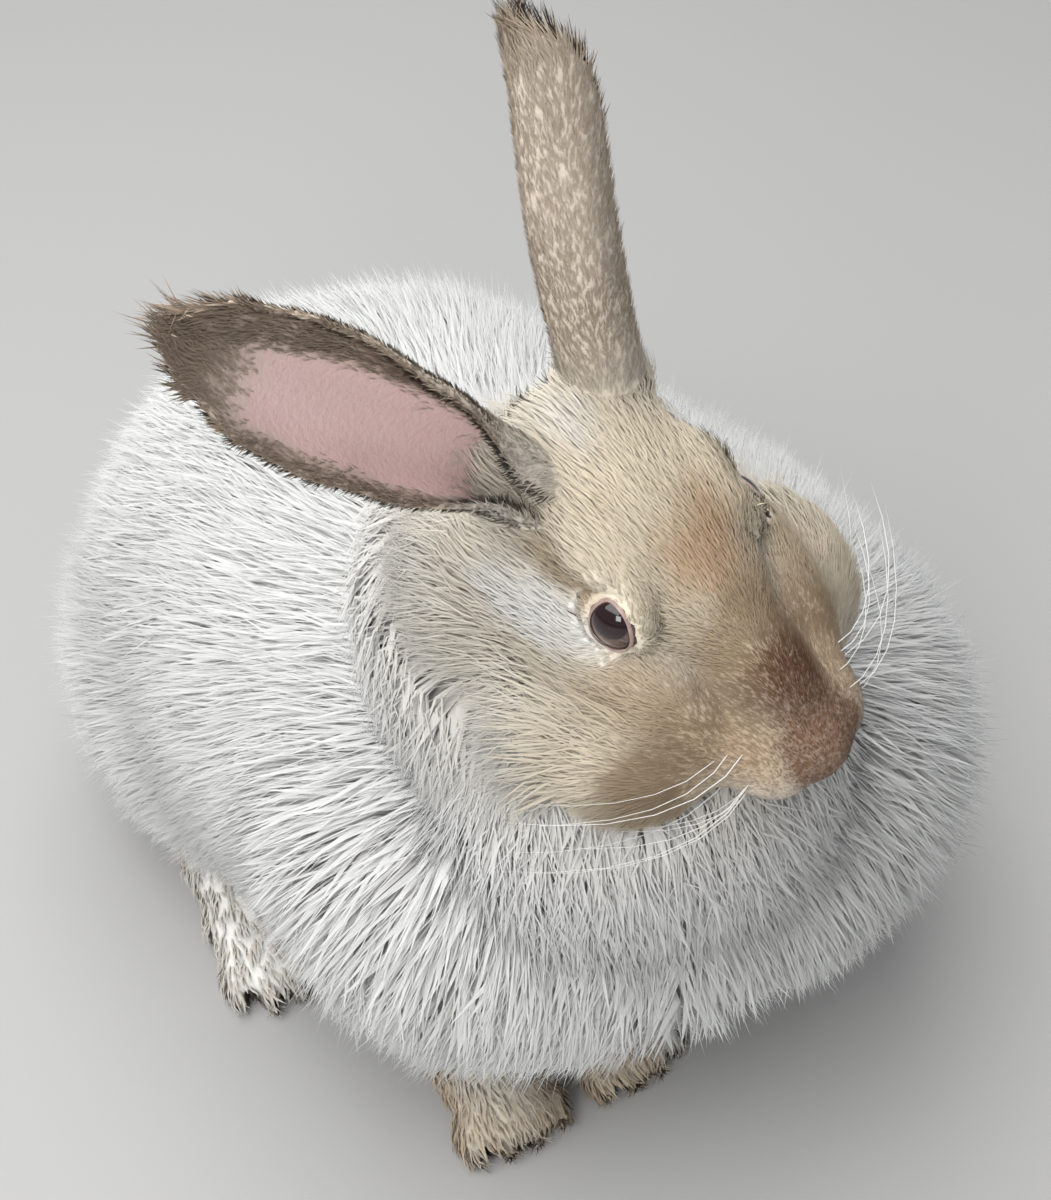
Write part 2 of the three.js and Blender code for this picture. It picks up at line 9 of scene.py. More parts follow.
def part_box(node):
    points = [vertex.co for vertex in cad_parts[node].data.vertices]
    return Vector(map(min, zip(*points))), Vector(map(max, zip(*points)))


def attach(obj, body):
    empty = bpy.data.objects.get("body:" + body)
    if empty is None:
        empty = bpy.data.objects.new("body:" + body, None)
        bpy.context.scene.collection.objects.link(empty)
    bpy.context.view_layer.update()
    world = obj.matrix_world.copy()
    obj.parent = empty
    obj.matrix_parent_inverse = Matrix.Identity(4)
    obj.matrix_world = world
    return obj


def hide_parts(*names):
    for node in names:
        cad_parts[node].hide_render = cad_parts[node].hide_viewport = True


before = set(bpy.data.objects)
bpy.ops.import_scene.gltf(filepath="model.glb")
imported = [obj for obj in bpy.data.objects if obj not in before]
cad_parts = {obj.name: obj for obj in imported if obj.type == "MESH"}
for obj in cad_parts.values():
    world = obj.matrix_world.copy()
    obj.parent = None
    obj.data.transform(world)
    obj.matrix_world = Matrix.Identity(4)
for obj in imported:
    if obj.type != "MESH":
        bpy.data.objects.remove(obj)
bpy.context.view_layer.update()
bpy.ops.object.select_all(action="DESELECT")

# The set: the rabbit sits on a plain pale floor under soft studio light, seen from above its right shoulder.
# Sizes are millimetres in the rabbit's own frame, which is found again from the place of its right eye.
# The rabbit faces -Y, its left side is +X, and the head is turned to its left and nose down.


def turned(tilt=0.0, turn=0.0, lean=0.0):
    t, z, y = math.radians(tilt), math.radians(turn), math.radians(lean)
    about_x = np.array([[1, 0, 0], [0, math.cos(t), -math.sin(t)], [0, math.sin(t), math.cos(t)]])
    about_y = np.array([[math.cos(y), 0, math.sin(y)], [0, 1, 0], [-math.sin(y), 0, math.cos(y)]])
    about_z = np.array([[math.cos(z), -math.sin(z), 0], [math.sin(z), math.cos(z), 0], [0, 0, 1]])
    return about_z @ about_x @ about_y


HEAD_CENTRE = np.array([10.0, -88.5, 227.0])
HEAD_TURNED = turned(27, 27, -16)
EYE_PLACE, EYE_RADIUS = np.array([17.5, -7.0, 5.3]), 9.0


def from_head(points):
    return HEAD_CENTRE + np.asarray(points, float) @ HEAD_TURNED.T


def to_head(points):
    return (np.asarray(points, float) - HEAD_CENTRE) @ HEAD_TURNED


eye_low, eye_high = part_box("eye_right")
ORIGIN = (np.array(eye_low) + np.array(eye_high)) * 500 - from_head(EYE_PLACE * (-1, 1, 1))


def metres(points):
    return (np.asarray(points, float) + ORIGIN) / 1000


bpy.ops.mesh.primitive_circle_add(vertices=96, radius=4.0, fill_type="NGON", location=(0, 0, 0))
floor = bpy.context.object
floor.name = "floor"
floor_paint = bpy.data.materials.new("pale_floor")
floor_paint.use_nodes = True
floor_coat = floor_paint.node_tree.nodes["Principled BSDF"]
floor_coat.inputs["Base Color"].default_value = (0.46, 0.455, 0.445, 1)
floor_coat.inputs["Roughness"].default_value = 0.85
floor.data.materials.append(floor_paint)

AIM = np.array([8.8, -23.0, 150.0])
AZIMUTH, ELEVATION, DISTANCE = math.radians(-25), math.radians(45), 540
camera = bpy.data.objects.new("camera", bpy.data.cameras.new("camera"))
bpy.context.scene.collection.objects.link(camera)
back = Vector(
    (
        math.sin(AZIMUTH) * math.cos(ELEVATION),
        -math.cos(AZIMUTH) * math.cos(ELEVATION),
        math.sin(ELEVATION),
    )
)
camera.location = Vector(metres(AIM)) + back * DISTANCE / 1000
camera.rotation_mode = "QUATERNION"
camera.rotation_quaternion = (-back).to_track_quat("-Z", "Y")
camera.data.lens = 57
camera.data.sensor_width = 36
camera.data.clip_start = 0.01
bpy.context.scene.camera = camera
bpy.context.scene.view_settings.view_transform = "Standard"
bpy.context.scene.cycles.diffuse_bounces = 2
bpy.context.scene.cycles.debug_use_spatial_splits = True

for name, place, size, watts in (
    ("key_light", (-0.60, -0.25, 1.20), 1.2, 15),
    ("top_light", (0.1, 0.55, 1.4), 1.1, 11),
    ("front_light", (-0.68, -0.87, 0.58), 0.3, 2.5),
):
    lamp = bpy.data.lights.new(name, "AREA")
    lamp.size, lamp.energy = size, watts
    light = bpy.data.objects.new(name, lamp)
    bpy.context.scene.collection.objects.link(light)
    light.location = place
    light.rotation_euler = (Vector((0, 0, 0.12)) - light.location).to_track_quat("-Z", "Y").to_euler()

world = bpy.data.worlds.new("studio")
bpy.context.scene.world = world
world.use_nodes = True
world.node_tree.nodes["Background"].inputs["Color"].default_value = (0.93, 0.96, 1.0, 1)
world.node_tree.nodes["Background"].inputs["Strength"].default_value = 0.37

# The skin under the coat: one closed body of head, neck, trunk, tail, legs and feet, with the ears grown on.
# It is melted together from balls set where the flesh bulges, and lies inside the coat by the wool's depth.
# Each row below is a ball: its centre, its radii, how far it is tilted nose down and turned, in degrees.
BODY_TURN = 8
TRUNK = [
    ((2, 60, 92), (72, 86, 60), 0, BODY_TURN),
    ((32, -42, 92), (90, 66, 48), 0, BODY_TURN),
    ((14, 14, 96), (76, 66, 52), 0, BODY_TURN),
]
NECK = [((3, -50, 178), (34, 36, 32), 0, 0), ((16, -82, 140), (38, 26, 36), 0, 0)]
THIGHS = [((-58, 62, 62), (26, 48, 34), 0, BODY_TURN), ((58, 78, 62), (26, 48, 34), 0, BODY_TURN)]
TAIL = ((-16, 150, 58), (20, 18, 28), -14, BODY_TURN)
WIDEST, HANG, BELLY = 95, 0.78, 30
WOOL_ROOTS = 5
FUR_ROOTS = 2.2
HEAD_MIDDLE = (0, -10, -6)


def both(row):
    centre, radii, tilt, turn = row
    return [row, ((-centre[0], centre[1], centre[2]), radii, tilt, -turn)]


FLESH = [
    ((0, 12, 4), (24, 30, 21), 0, 0),
    ((0, -9, 4), (19, 25, 15), 10, 0),
    ((0, -36, -6), (14, 27, 13), 16, 0),
    ((0, -60, -14), (10.5, 11, 10), 0, 0),
    ((0, -30, -28), (12, 28, 12), 4, 0),
    ((0, -50, -28), (8, 10, 7), 0, 0),
    ((0, 12, -28), (24, 26, 24), 0, 0),
    *both(((10.5, -52, -17), (12, 16, 11), 0, 0)),
    *both(((20, -15, -19), (16, 39, 23), 6, -3)),
    *both(((20, 14, -23), (16, 22, 24), 0, 0)),
    *both(((16, -16, -38), (14, 22, 20), 0, 0)),
    *both(((26, -27, -30), (24, 26, 18), 0, -8)),
    *both(((16.5, -1, 13.5), (8.5, 13, 6.5), 0, 0)),
    *both(((15, 31, 10), (11, 12, 11), 0, 0)),
]
ORBITS = both(((31.5, -8, 12.3), (9.6, 9.6, 9.6), 0, 0))


def off_balls(points, balls, soft):
    """About how far each point lies outside the balls, melted together over `soft` millimetres."""
    total = np.full(len(points), -1e9)
    for centre, radii, tilt, turn in balls:
        q = (points - np.array(centre, float)) @ turned(tilt, turn)
        near = np.linalg.norm(q / np.array(radii, float), axis=1)
        slope = np.maximum(np.linalg.norm(q / np.square(np.array(radii, float)), axis=1), 1e-9)
        total = np.logaddexp(total, -near * (near - 1) / slope / soft)
    return -soft * total


def off_head(points):
    local = to_head(points)
    soft = 1.6
    return soft * np.logaddexp(off_balls(local, FLESH, 2.6) / soft, -off_balls(local, ORBITS, 1) / soft)


def off_trunk(points):
    hung = points.copy()
    low = hung[:, 2] < WIDEST
    hung[low, 2] = WIDEST - (WIDEST - hung[low, 2]) * HANG
    return off_balls(hung, TRUNK, 8)


def off_body(points):
    soft = 6
    total = np.logaddexp(-off_trunk(points) / soft, -off_balls(points, NECK, 8) / soft)
    for thigh in THIGHS:
        total = np.logaddexp(total, -off_balls(points, [thigh], soft) / soft)
    return -soft * total


def normed(ways):
    """Each way at length 1, and none where it has no length."""
    return ways / np.maximum(np.linalg.norm(ways, axis=-1, keepdims=True), 1e-9)


def out_of(off, points):
    step = 0.5
    rises = [off(points + step * axis) - off(points - step * axis) for axis in np.eye(3)]
    return normed(np.stack(rises, axis=1))


def settle(off, points, height, steps=4):
    """Moves each point straight out or in until it lies `height` outside the body."""
    for _ in range(steps):
        away = np.clip(height - off(points), -12, 12)
        points = points + out_of(off, points) * away[:, None]
    return points


def ball(centre, radii, rotation):
    bpy.ops.mesh.primitive_uv_sphere_add(segments=32, ring_count=20, radius=1)
    made = bpy.context.object
    size = Matrix.Diagonal((*[r / 1000 for r in radii], 1))
    made.matrix_world = Matrix.Translation(metres(centre)) @ Matrix(rotation.tolist()).to_4x4() @ size
    bpy.ops.object.transform_apply(location=True, rotation=True, scale=True)
    return made


def faced_outwards():
    """Turns all faces of the active piece outwards."""
    bpy.ops.object.mode_set(mode="EDIT")
    bpy.ops.mesh.select_all(action="SELECT")
    bpy.ops.mesh.normals_make_consistent(inside=False)
    bpy.ops.object.mode_set(mode="OBJECT")


def modified(piece, kind, **settings):
    modifier = piece.modifiers.new(kind.lower(), kind)
    for key, value in settings.items():
        setattr(modifier, key, value)
    bpy.context.view_layer.objects.active = piece
    bpy.ops.object.modifier_apply(modifier=modifier.name)


def melted(name, balls, voxel):
    """Joins the balls and gives them one closed skin of even squares."""
    bpy.ops.object.select_all(action="DESELECT")
    for piece in balls:
        piece.select_set(True)
    bpy.context.view_layer.objects.active = balls[0]
    bpy.ops.object.join()
    whole = bpy.context.object
    whole.name = name
    modified(whole, "REMESH", mode="VOXEL", voxel_size=voxel / 1000)
    whole.select_set(False)
    return whole


def raw_points(piece):
    flat = np.empty(len(piece.data.vertices) * 3, np.float32)
    piece.data.vertices.foreach_get("co", flat)
    return flat.reshape(-1, 3).astype(float)


def points_of(piece):
    return raw_points(piece) * 1000 - ORIGIN


def move_points(piece, points):
    piece.data.vertices.foreach_set("co", metres(points).astype(np.float32).ravel())
    piece.data.update()


def surface_of(piece):
    """A piece's points, triangles and the way out at each point, for the coat to grow on."""
    mesh = piece.data
    mesh.calc_loop_triangles()
    corners = np.empty(len(mesh.loop_triangles) * 3, np.int32)
    mesh.loop_triangles.foreach_get("vertices", corners)
    normals = np.empty(len(mesh.vertices) * 3, np.float32)
    mesh.vertices.foreach_get("normal", normals)
    return points_of(piece), corners.reshape(-1, 3), normals.reshape(-1, 3).astype(float)


def smaller(radii, by):
    return [max(r - by, 3) for r in radii]


trunk_balls = [ball(c, smaller(r, WOOL_ROOTS), turned(t, z)) for c, r, t, z in [*TRUNK, *NECK, *THIGHS]]
body_skin = melted("body_skin", trunk_balls, 5)
body_points = settle(off_body, points_of(body_skin), -WOOL_ROOTS)
body_points[:, 2] = np.maximum(body_points[:, 2], BELLY)
move_points(body_skin, body_points)
modified(body_skin, "SMOOTH", factor=0.5, iterations=2)
body_surface = surface_of(body_skin)

tail_centre, tail_radii, tail_tilt, tail_turn = TAIL
tail_skin = melted(
    "tail_skin",
    [
        ball(tail_centre, smaller(tail_radii, 8), turned(tail_tilt, tail_turn)),
        ball((-10, 128, 66), (12, 22, 14), turned(-10, BODY_TURN)),
    ],
    2.5,
)
tail_surface = surface_of(tail_skin)

FOREFOOT = {"length": 50, "width": 36, "height": 27, "toe": (5.2, 10, 8.5)}
HINDFOOT = {"length": 106, "width": 34, "height": 24, "toe": (5, 12, 8.5)}
FEET = [
    {**FOREFOOT, "middle": (-31, -81, 0), "turn": 4},
    {**FOREFOOT, "middle": (11, -76, 0), "turn": 12},
    {**HINDFOOT, "middle": (-78, 26, 0), "turn": 1},
    {**HINDFOOT, "middle": (80, 48, 0), "turn": 14},
]


def foot_rows(middle, turn, length, width, height, toe):
    """The balls of one foot: the instep, the ball of the foot and four toes side by side."""
    rows = [
        ((0, length * 0.08, height * 0.4), (width * 0.44, length * 0.42, height * 0.6), 0, 0),
        ((0, -length * 0.18, height * 0.34), (width * 0.48, length * 0.27, height * 0.5), 0, 0),
    ]
    for across in (-0.75, -0.25, 0.25, 0.75):
        reach = length * (0.5 - 0.09 * across**2) - toe[1]
        rows.append(((across * width * 0.5, -reach, toe[2] * 0.78), toe, 10, 14 * across))
    rows.append(((0, -length * 0.34, height * 0.36), (width * 0.44, length * 0.14, height * 0.37), 0, 0))
    return [(turned(0, turn) @ np.array(c) + np.array(middle), r, t, z + turn) for c, r, t, z in rows]


foot_skins = []
for foot in FEET:
    rows = foot_rows(**foot)
    if foot["length"] == FOREFOOT["length"]:
        x, y = foot["middle"][0] + 2, foot["middle"][1] + 9
        rows += [((x, y + 4, 72), (17, 17, 32), 0, 0), ((x, y, 38), (14, 15, 22), 0, 0)]
    else:
        side = math.copysign(1, foot["middle"][0])
        rows += [((foot["middle"][0] - 8 * side, foot["middle"][1] + 34, 34), (13, 30, 24), 0, foot["turn"])]
    balls = [ball(c, smaller(r, FUR_ROOTS), turned(t, z)) for c, r, t, z in rows]
    skin_of_foot = melted("foot_skin", balls, 1.5)
    places = points_of(skin_of_foot)
    places[:, 2] = np.maximum(places[:, 2], 0.4)
    move_points(skin_of_foot, places)
    modified(skin_of_foot, "SMOOTH", factor=0.5, iterations=3)
    foot_skins.append(skin_of_foot)
foot_surfaces = [surface_of(piece) for piece in foot_skins]

head_balls = [
    ball(from_head(c), smaller(r, FUR_ROOTS), HEAD_TURNED @ turned(t, z)) for c, r, t, z in FLESH
]
head_skin = melted("head_skin", head_balls, 1.0)
head_points = settle(off_head, points_of(head_skin), -FUR_ROOTS, steps=5)
move_points(head_skin, head_points)
modified(head_skin, "SMOOTH", factor=0.5, iterations=2)
head_points = points_of(head_skin)

# The lids: thin furred skin that closes over the eye ball and leaves an almond opening, which slants down
# towards the nose. The head's own skin is drawn in or out until it lies just over the ball.
OPENING_LONG, OPENING_HIGH, OPENING_SLANT, OPENING_PINCH = 7.3, 5.3, 48, 0.2
LID_RISE = 0.8
BALL_CLEARED = EYE_RADIUS + 0.35
SOCKET_DEPTH = 5.5
LID_EDGE, LID_FOLD, LID_END = 1.06, 1.1, 1.6


def unit(v):
    v = np.asarray(v, float)
    return v / np.linalg.norm(v)


def eye_axes(side):
    """An eye's centre and the ways out, forward and up along its surface, in the head's frame."""
    outward = unit([0.88 * side, -0.14, 0.4 if side < 0 else 0.2])
    forward = unit(np.array([0, -1, 0]) + outward * outward[1])
    upward = np.cross(forward, outward) * side
    return EYE_PLACE * (side, 1, 1), outward, forward, unit(upward * np.sign(upward[2]))


def opening_at(local, side, on_ball=False):
    """How far out a point of its own side lies from the eye opening's middle: 1 on the edge of the lids."""
    centre, outward, forward, upward = eye_axes(side)
    d = local - centre
    seen = d * (BALL_CLEARED / np.linalg.norm(d, axis=1, keepdims=True)) if on_ball else d
    a, b, c = seen @ forward, seen @ upward, seen @ outward
    slant = math.radians(OPENING_SLANT)
    long, high = a * math.cos(slant) - b * math.sin(slant), a * math.sin(slant) + b * math.cos(slant)
    angle = np.arctan2(high / OPENING_HIGH, long / OPENING_LONG)
    reach = np.hypot(long / OPENING_LONG, high / (OPENING_HIGH * (1 - OPENING_PINCH * np.cos(angle) ** 4)))
    return np.where(c > 0, reach, 9.0), d


def smooth(x, low, high):
    t = np.clip((x - low) / (high - low), 0, 1)
    return t * t * (3 - 2 * t)


def near_line(points, line):
    """The distance from each point to a line of straight pieces."""
    best = np.full(len(points), 1e9)
    for a, b in zip(line[:-1], line[1:]):
        a, b = np.array(a, float), np.array(b, float)
        share = np.clip((points - a) @ (b - a) / ((b - a) @ (b - a)), 0, 1)
        best = np.minimum(best, np.linalg.norm(points - (a + share[:, None] * (b - a)), axis=1))
    return best


local = to_head(head_points)
for side in (-1, 1):
    reach, d = opening_at(local, side)
    inside, _ = opening_at(local, side, on_ball=True)
    far = np.linalg.norm(d, axis=1)
    closed = EYE_RADIUS + LID_RISE
    drawn_in = closed + (far - closed) * smooth(reach, LID_FOLD, LID_END)
    wanted = np.where(reach < LID_END, drawn_in, far)
    wanted = closed + 0.4 * np.logaddexp(0, (wanted - closed) / 0.4)
    socket = SOCKET_DEPTH + (wanted - SOCKET_DEPTH) * smooth(inside, 0.9, LID_EDGE)
    wanted = np.where(inside < LID_EDGE, socket, wanted)
    touched = (reach < LID_END) | (inside < LID_EDGE) | (far < closed + 1.5)
    local[touched] += d[touched] * (wanted[touched] / far[touched] - 1)[:, None]

# The nose and mouth: two slit nostrils, the cleft below them and the closed line of the lips, all soft bare
# skin. They are pressed into the muzzle as grooves along short lines.
GROOVE_WIDTH, LIPS_DEPTH, NOSTRIL_DEPTH = 1.5, 1.5, 2.4
MOUTH_LINES = [
    [(0, -75, -18), (0, -76, -23), (0, -73, -27)],
    [(0, -73, -27), (-5, -69, -29), (-10, -61, -29), (-13, -52, -27)],
    [(0, -73, -27), (5, -69, -29), (10, -61, -29), (13, -52, -27)],
]
NOSTRILS = [[(s * 2.6, -74, -16.5), (s * 4.6, -74, -14), (s * 6.4, -72, -12.5)] for s in (-1, 1)]


def pressed(points):
    """How strongly each point of the head's frame lies in a nostril or in a line of the mouth."""
    lips = np.min([near_line(points, line) for line in MOUTH_LINES], axis=0)
    slits = np.min([near_line(points, line) for line in NOSTRILS], axis=0)
    return np.exp(-((lips / GROOVE_WIDTH) ** 2)), np.exp(-((slits / GROOVE_WIDTH) ** 2))


lips, slits = pressed(local)
away = out_of(lambda p: off_balls(p, FLESH, 2.6), local)
local -= away * (LIPS_DEPTH * lips + NOSTRIL_DEPTH * slits)[:, None]
move_points(head_skin, from_head(local))
head_surface = surface_of(head_skin)

# Each ear is a rolled blade of gristle with skin on both faces, nearly a tube at its root.
# Roll is the radius of the roll and blade half its width, each at shares of the ear's length.
EAR_LENGTH, EAR_ROOTED, EAR_WALL = 100, 6, 2.6
EARS = {
    "ear_right": {
        "root": from_head([-17, 28, 15]),
        "axis": (-69, -9, 65),
        "opening": (0.15, -0.97, -0.1),
        "bow": 4,
        "roll": [(0, 10), (0.12, 10), (0.45, 15), (0.7, 18), (1, 18)],
        "blade": [(0, 28), (0.12, 27), (0.35, 27), (0.55, 26), (0.75, 21), (0.9, 13), (1, 4)],
    },
    "ear_left": {
        "root": from_head([16, 30, 8]),
        "axis": (-14, 7, 97),
        "opening": (0.9, 0.4, 0.1),
        "bow": 3,
        "roll": [(0, 10), (1, 10)],
        "blade": [(0, 28), (0.12, 27), (0.35, 25), (0.6, 23.5), (0.8, 20.5), (0.9, 16.5), (0.96, 11), (1, 4)],
    },
}


def along(pairs, u):
    shares = np.array([p[0] for p in pairs], float)
    heights = np.array([p[1] for p in pairs], float)
    k = np.clip(np.searchsorted(shares, u, side="right") - 1, 0, len(shares) - 2)
    t = smooth((u - shares[k]) / (shares[k + 1] - shares[k]), 0, 1)
    return heights[k] + (heights[k + 1] - heights[k]) * t


def ear_frame(ear):
    up = unit(ear["axis"])
    face = np.array(ear["opening"]) - up * (up @ np.array(ear["opening"]))
    return up, unit(face), np.cross(up, unit(face))


def on_ear(ear, u, v, sunk=0.0):
    """The point at share u of an ear's length and v across it, from -1 to 1, `sunk` inside its outer face."""
    up, face, across = ear_frame(ear)
    radius = along(ear["roll"], u)
    spread = np.minimum(math.radians(158), along(ear["blade"], u) / radius)
    lift = EAR_LENGTH * u - EAR_ROOTED * (1 - u)
    lean = radius - ear["roll"][0][1] - ear["bow"] * np.sin(math.pi * u)
    a, r = spread * v, radius - sunk
    return (
        np.array(ear["root"])
        + up * lift[:, None]
        + face * (lean - r * np.cos(a))[:, None]
        + across * (r * np.sin(a))[:, None]
    )


def ear_blade(name, ear):
    bpy.ops.mesh.primitive_grid_add(x_subdivisions=28, y_subdivisions=56, size=2)
    blade = bpy.context.object
    blade.name = name
    v, y, _ = raw_points(blade).T
    u = (y + 1) / 2
    crinkle = 0.5 * np.sin(9 * v + 5 * u) * np.sin(math.pi * u) * (1 - v * v)
    move_points(blade, on_ear(ear, u, v, EAR_WALL / 2 + crinkle))
    modified(blade, "SOLIDIFY", thickness=1.5 / 1000, offset=0)
    modified(blade, "SUBSURF", levels=1, render_levels=1)
    faced_outwards()
    blade.select_set(False)
    return blade


ear_skins = {name: ear_blade(name + "_skin", ear) for name, ear in EARS.items()}
ear_surfaces = {name: surface_of(piece) for name, piece in ear_skins.items()}

skin = head_skin
skin.name = "skin"
for piece in [*ear_skins.values(), body_skin, tail_skin, *foot_skins]:
    modified(skin, "BOOLEAN", operation="UNION", solver="MANIFOLD", object=piece)
    bpy.data.objects.remove(piece)
bpy.ops.object.select_all(action="DESELECT")
skin.select_set(True)
bpy.context.view_layer.objects.active = skin
bpy.ops.object.shade_smooth()
skin.select_set(False)

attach(skin, "root")
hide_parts(*[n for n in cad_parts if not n.startswith("eye")])


# The finish of skin and coat: white wool, cream to fawn short fur, a rust patch between the eyes and a brown
# nose. One set of markings, with painted shade on the right jowl, is painted on both, from the place on the
# head, in its own frame.
class Value:
    """A value or colour on its way through a material's nodes."""

    def __init__(self, tree, socket):
        self.tree, self.socket = tree, socket

    def node(self, kind, settings, inputs, out=0):
        made = self.tree.nodes.new(kind)
        for key, value in settings.items():
            setattr(made, key, value)
        for key, value in inputs.items():
            if isinstance(value, Value):
                self.tree.links.new(value.socket, made.inputs[key])
            else:
                made.inputs[key].default_value = value
        return Value(self.tree, made.outputs[out])

    def maths(self, operation, first, second):
        return self.node("ShaderNodeMath", {"operation": operation}, {0: first, 1: second})

    def __sub__(self, other):
        return self.maths("SUBTRACT", self, other)

    def __rsub__(self, other):
        return self.maths("SUBTRACT", other, self)

    def __mul__(self, other):
        return self.maths("MULTIPLY", self, other)

    def __rmul__(self, other):
        return self.maths("MULTIPLY", other, self)

    def between(self, low, high):
        """0 below low, 1 above high, and smooth between."""
        return self.node(
            "ShaderNodeMapRange",
            {"interpolation_type": "SMOOTHSTEP"},
            {"Value": self, "From Min": low, "From Max": high},
        )


def colour(r, g, b):
    return (r, g, b, 1.0)


def mixed(start, mask, under, over):
    return start.node("ShaderNodeMix", {"data_type": "RGBA"}, {"Factor": mask, 6: under, 7: over}, out=2)


def multiplied(start, mask, under, over):
    settings = {"data_type": "RGBA", "blend_type": "MULTIPLY"}
    return start.node("ShaderNodeMix", settings, {"Factor": mask, 6: under, 7: over}, out=2)


def coloured(tint, shell):
    tint.tree.links.new(tint.socket, shell.inputs["Base Color"])


def own_place(start):
    return start.node("ShaderNodeTexCoord", {}, {}, out="Object")


WHITE_WOOL = colour(0.95, 0.955, 0.94)
OFF_WHITE = colour(0.94, 0.91, 0.85)
CREAM = colour(0.92, 0.85, 0.73)
PALE_FAWN = colour(0.88, 0.77, 0.59)
FAWN = colour(0.66, 0.51, 0.34)
TAN = colour(0.42, 0.295, 0.18)
RUST = colour(0.66, 0.43, 0.26)
BRIDGE_BROWN = colour(0.145, 0.065, 0.034)
NOSE_BROWN = colour(0.19, 0.10, 0.055)
TAUPE = colour(0.42, 0.325, 0.255)
def drift(points, wave, seed):
    """A smooth, seeded unevenness from -1 to 1 that changes over about `wave` millimetres."""
    random = np.random.default_rng(seed)
    total = np.zeros(len(points))
    for _ in range(5):
        total += np.sin(points @ (random.normal(size=3) * 2 * math.pi / wave / 1.7) + random.random() * 6.3)
    return total / 3


def blend(under, over, share):
    """Lays a colour over the colour of each point, as strongly as share says."""
    return under + (np.array(over[:3]) - under) * np.asarray(share)[:, None]


def coat_colours(points):
    """The colour of the coat at each place of the body: white, with soft-edged oval spots laid over it."""
    local = to_head(points)
    for wave, reach, seed in ((26, 1.8, 31), (9, 1.0, 41)):
        local = local + reach * np.stack([drift(points, wave, seed + k) for k in range(3)], axis=1)

    def covered(centre, radii, soft, tilt=0):
        off = (local - np.array(centre, float)) @ turned(tilt) / np.array(radii, float)
        return 1 - smooth(np.linalg.norm(off, axis=1), 1 - soft, 1 + soft)

    def on_both(x, y, z, radii, soft):
        return [((side * x, y, z), radii, soft) for side in (-1, 1)]

    shade = np.tile(np.array(WHITE_WOOL[:3]), (len(points), 1))
    for tint, strength, spots in (
        (OFF_WHITE, 0.7, [((0, -12, -10), (60, 76, 58), 0.3)]),
        (CREAM, 1.0, [((0, -16, -6), (47, 64, 44), 0.26)]),
        (CREAM, 0.8, [((0, 24, 20), (28, 24, 22), 0.3)]),
        (PALE_FAWN, 0.85, [((0, -10, 16), (29, 36, 18), 0.4, 10)]),
        (PALE_FAWN, 0.45, [*on_both(33, -30, -14, (15, 26, 18), 0.5)]),
        (FAWN, 0.7, [*on_both(28, -29, -3, (11, 15, 11), 0.5), *on_both(25, 7, 9, (8, 12, 6), 0.5)]),
        (PALE_FAWN, 0.6, [*on_both(36, -36, -24, (15, 17, 15), 0.5)]),
        (FAWN, 0.85, [((0, -34, 8), (14, 14, 10), 0.5)]),
        # The second tan spot, on the right jowl only, is the jowl's own fawn-brown darkened further by
        # painted shade under the right cheek.
        (TAN, 0.8, [((0, -48, -8), (28, 25, 18), 0.4), ((-31, -42, -20), (10, 10, 12), 0.5)]),
        (TAN, 0.75, [*on_both(20, -46, -5, (10, 15, 10), 0.6)]),
        (RUST, 0.7, [((-3, -13, 20), (9, 9, 8), 0.7), ((6, -19, 18), (9, 9, 8), 0.7)]),
        (RUST, 0.7, [((10, -9, 21), (6, 7, 6), 0.8)]),
        (TAN, 0.5, [((2, -29, 14), (9, 9, 6), 0.5), ((12, -34, 8), (5, 12, 6), 0.5)]),
        (BRIDGE_BROWN, 0.92, [((2, -48, 2), (10.5, 14, 9), 0.5, 24)]),
        (NOSE_BROWN, 0.92, [((0, -65, -9), (13, 14, 10), 0.35)]),
        (WHITE_WOOL, 1.0, [*on_both(31, 6, -1, (9, 14, 10), 0.5)]),
        (OFF_WHITE, 0.8, [((0, 28, 22), (7, 10, 6), 0.5)]),
        (TAUPE, 0.2, [*on_both(16, 24, 15, (5, 4, 4), 0.6)]),
    ):
        for spot in spots:
            shade = blend(shade, tint, covered(*spot) * strength)
    low = 1 - smooth(points[:, 2], 22, 42)
    shade = blend(shade, OFF_WHITE, 0.8 * low)
    flush = smooth(drift(points, 40, 51), -0.6, 0.5) * (1 - smooth(points[:, 2], 12, 28))
    return blend(shade, FAWN, 0.7 * flush * (1 - smooth(points[:, 1], -60, -30)))


def paint(piece, colours):
    layer = piece.data.attributes.new("coat_colour", "FLOAT_COLOR", "POINT")
    solid = np.column_stack([colours, np.ones(len(colours))])
    layer.data.foreach_set("color", solid.astype(np.float32).ravel())


def new_finish(name):
    made = bpy.data.materials.new(name)
    made.use_nodes = True
    tree = made.node_tree
    return made, Value(tree, None), tree.nodes["Principled BSDF"]


def attribute(start, name, out="Fac"):
    settings = {"attribute_type": "GEOMETRY", "attribute_name": name}
    return start.node("ShaderNodeAttribute", settings, {}, out=out)


def mark(piece, name, values):
    layer = piece.data.attributes.new(name, "FLOAT", "POINT")
    layer.data.foreach_set("value", np.asarray(values, np.float32))


def ear_coordinates(ear, points):
    """Share along, place across (-1 to 1) and depth inside the outer face, for points near an ear."""
    up, face, across = ear_frame(ear)
    d = points - np.array(ear["root"])
    u = np.clip((d @ up + EAR_ROOTED) / (EAR_LENGTH + EAR_ROOTED), 0, 1)
    radius = along(ear["roll"], u)
    lean = radius - ear["roll"][0][1] - ear["bow"] * np.sin(math.pi * u)
    x, y = d @ across, lean - d @ face
    spread = np.minimum(math.radians(158), along(ear["blade"], u) / radius)
    return u, np.arctan2(x, y) / spread, radius - np.hypot(x, y)


# The inner ear's pink is the skin's own pink painted brighter: painted light that stands in for the light
# shining through the thin ear.
EAR_PINK_WITH_PAINTED_LIGHT = colour(0.93, 0.65, 0.63)
EAR_FAWN = colour(0.74, 0.61, 0.47)
LIP_PINK = colour(0.30, 0.12, 0.10)


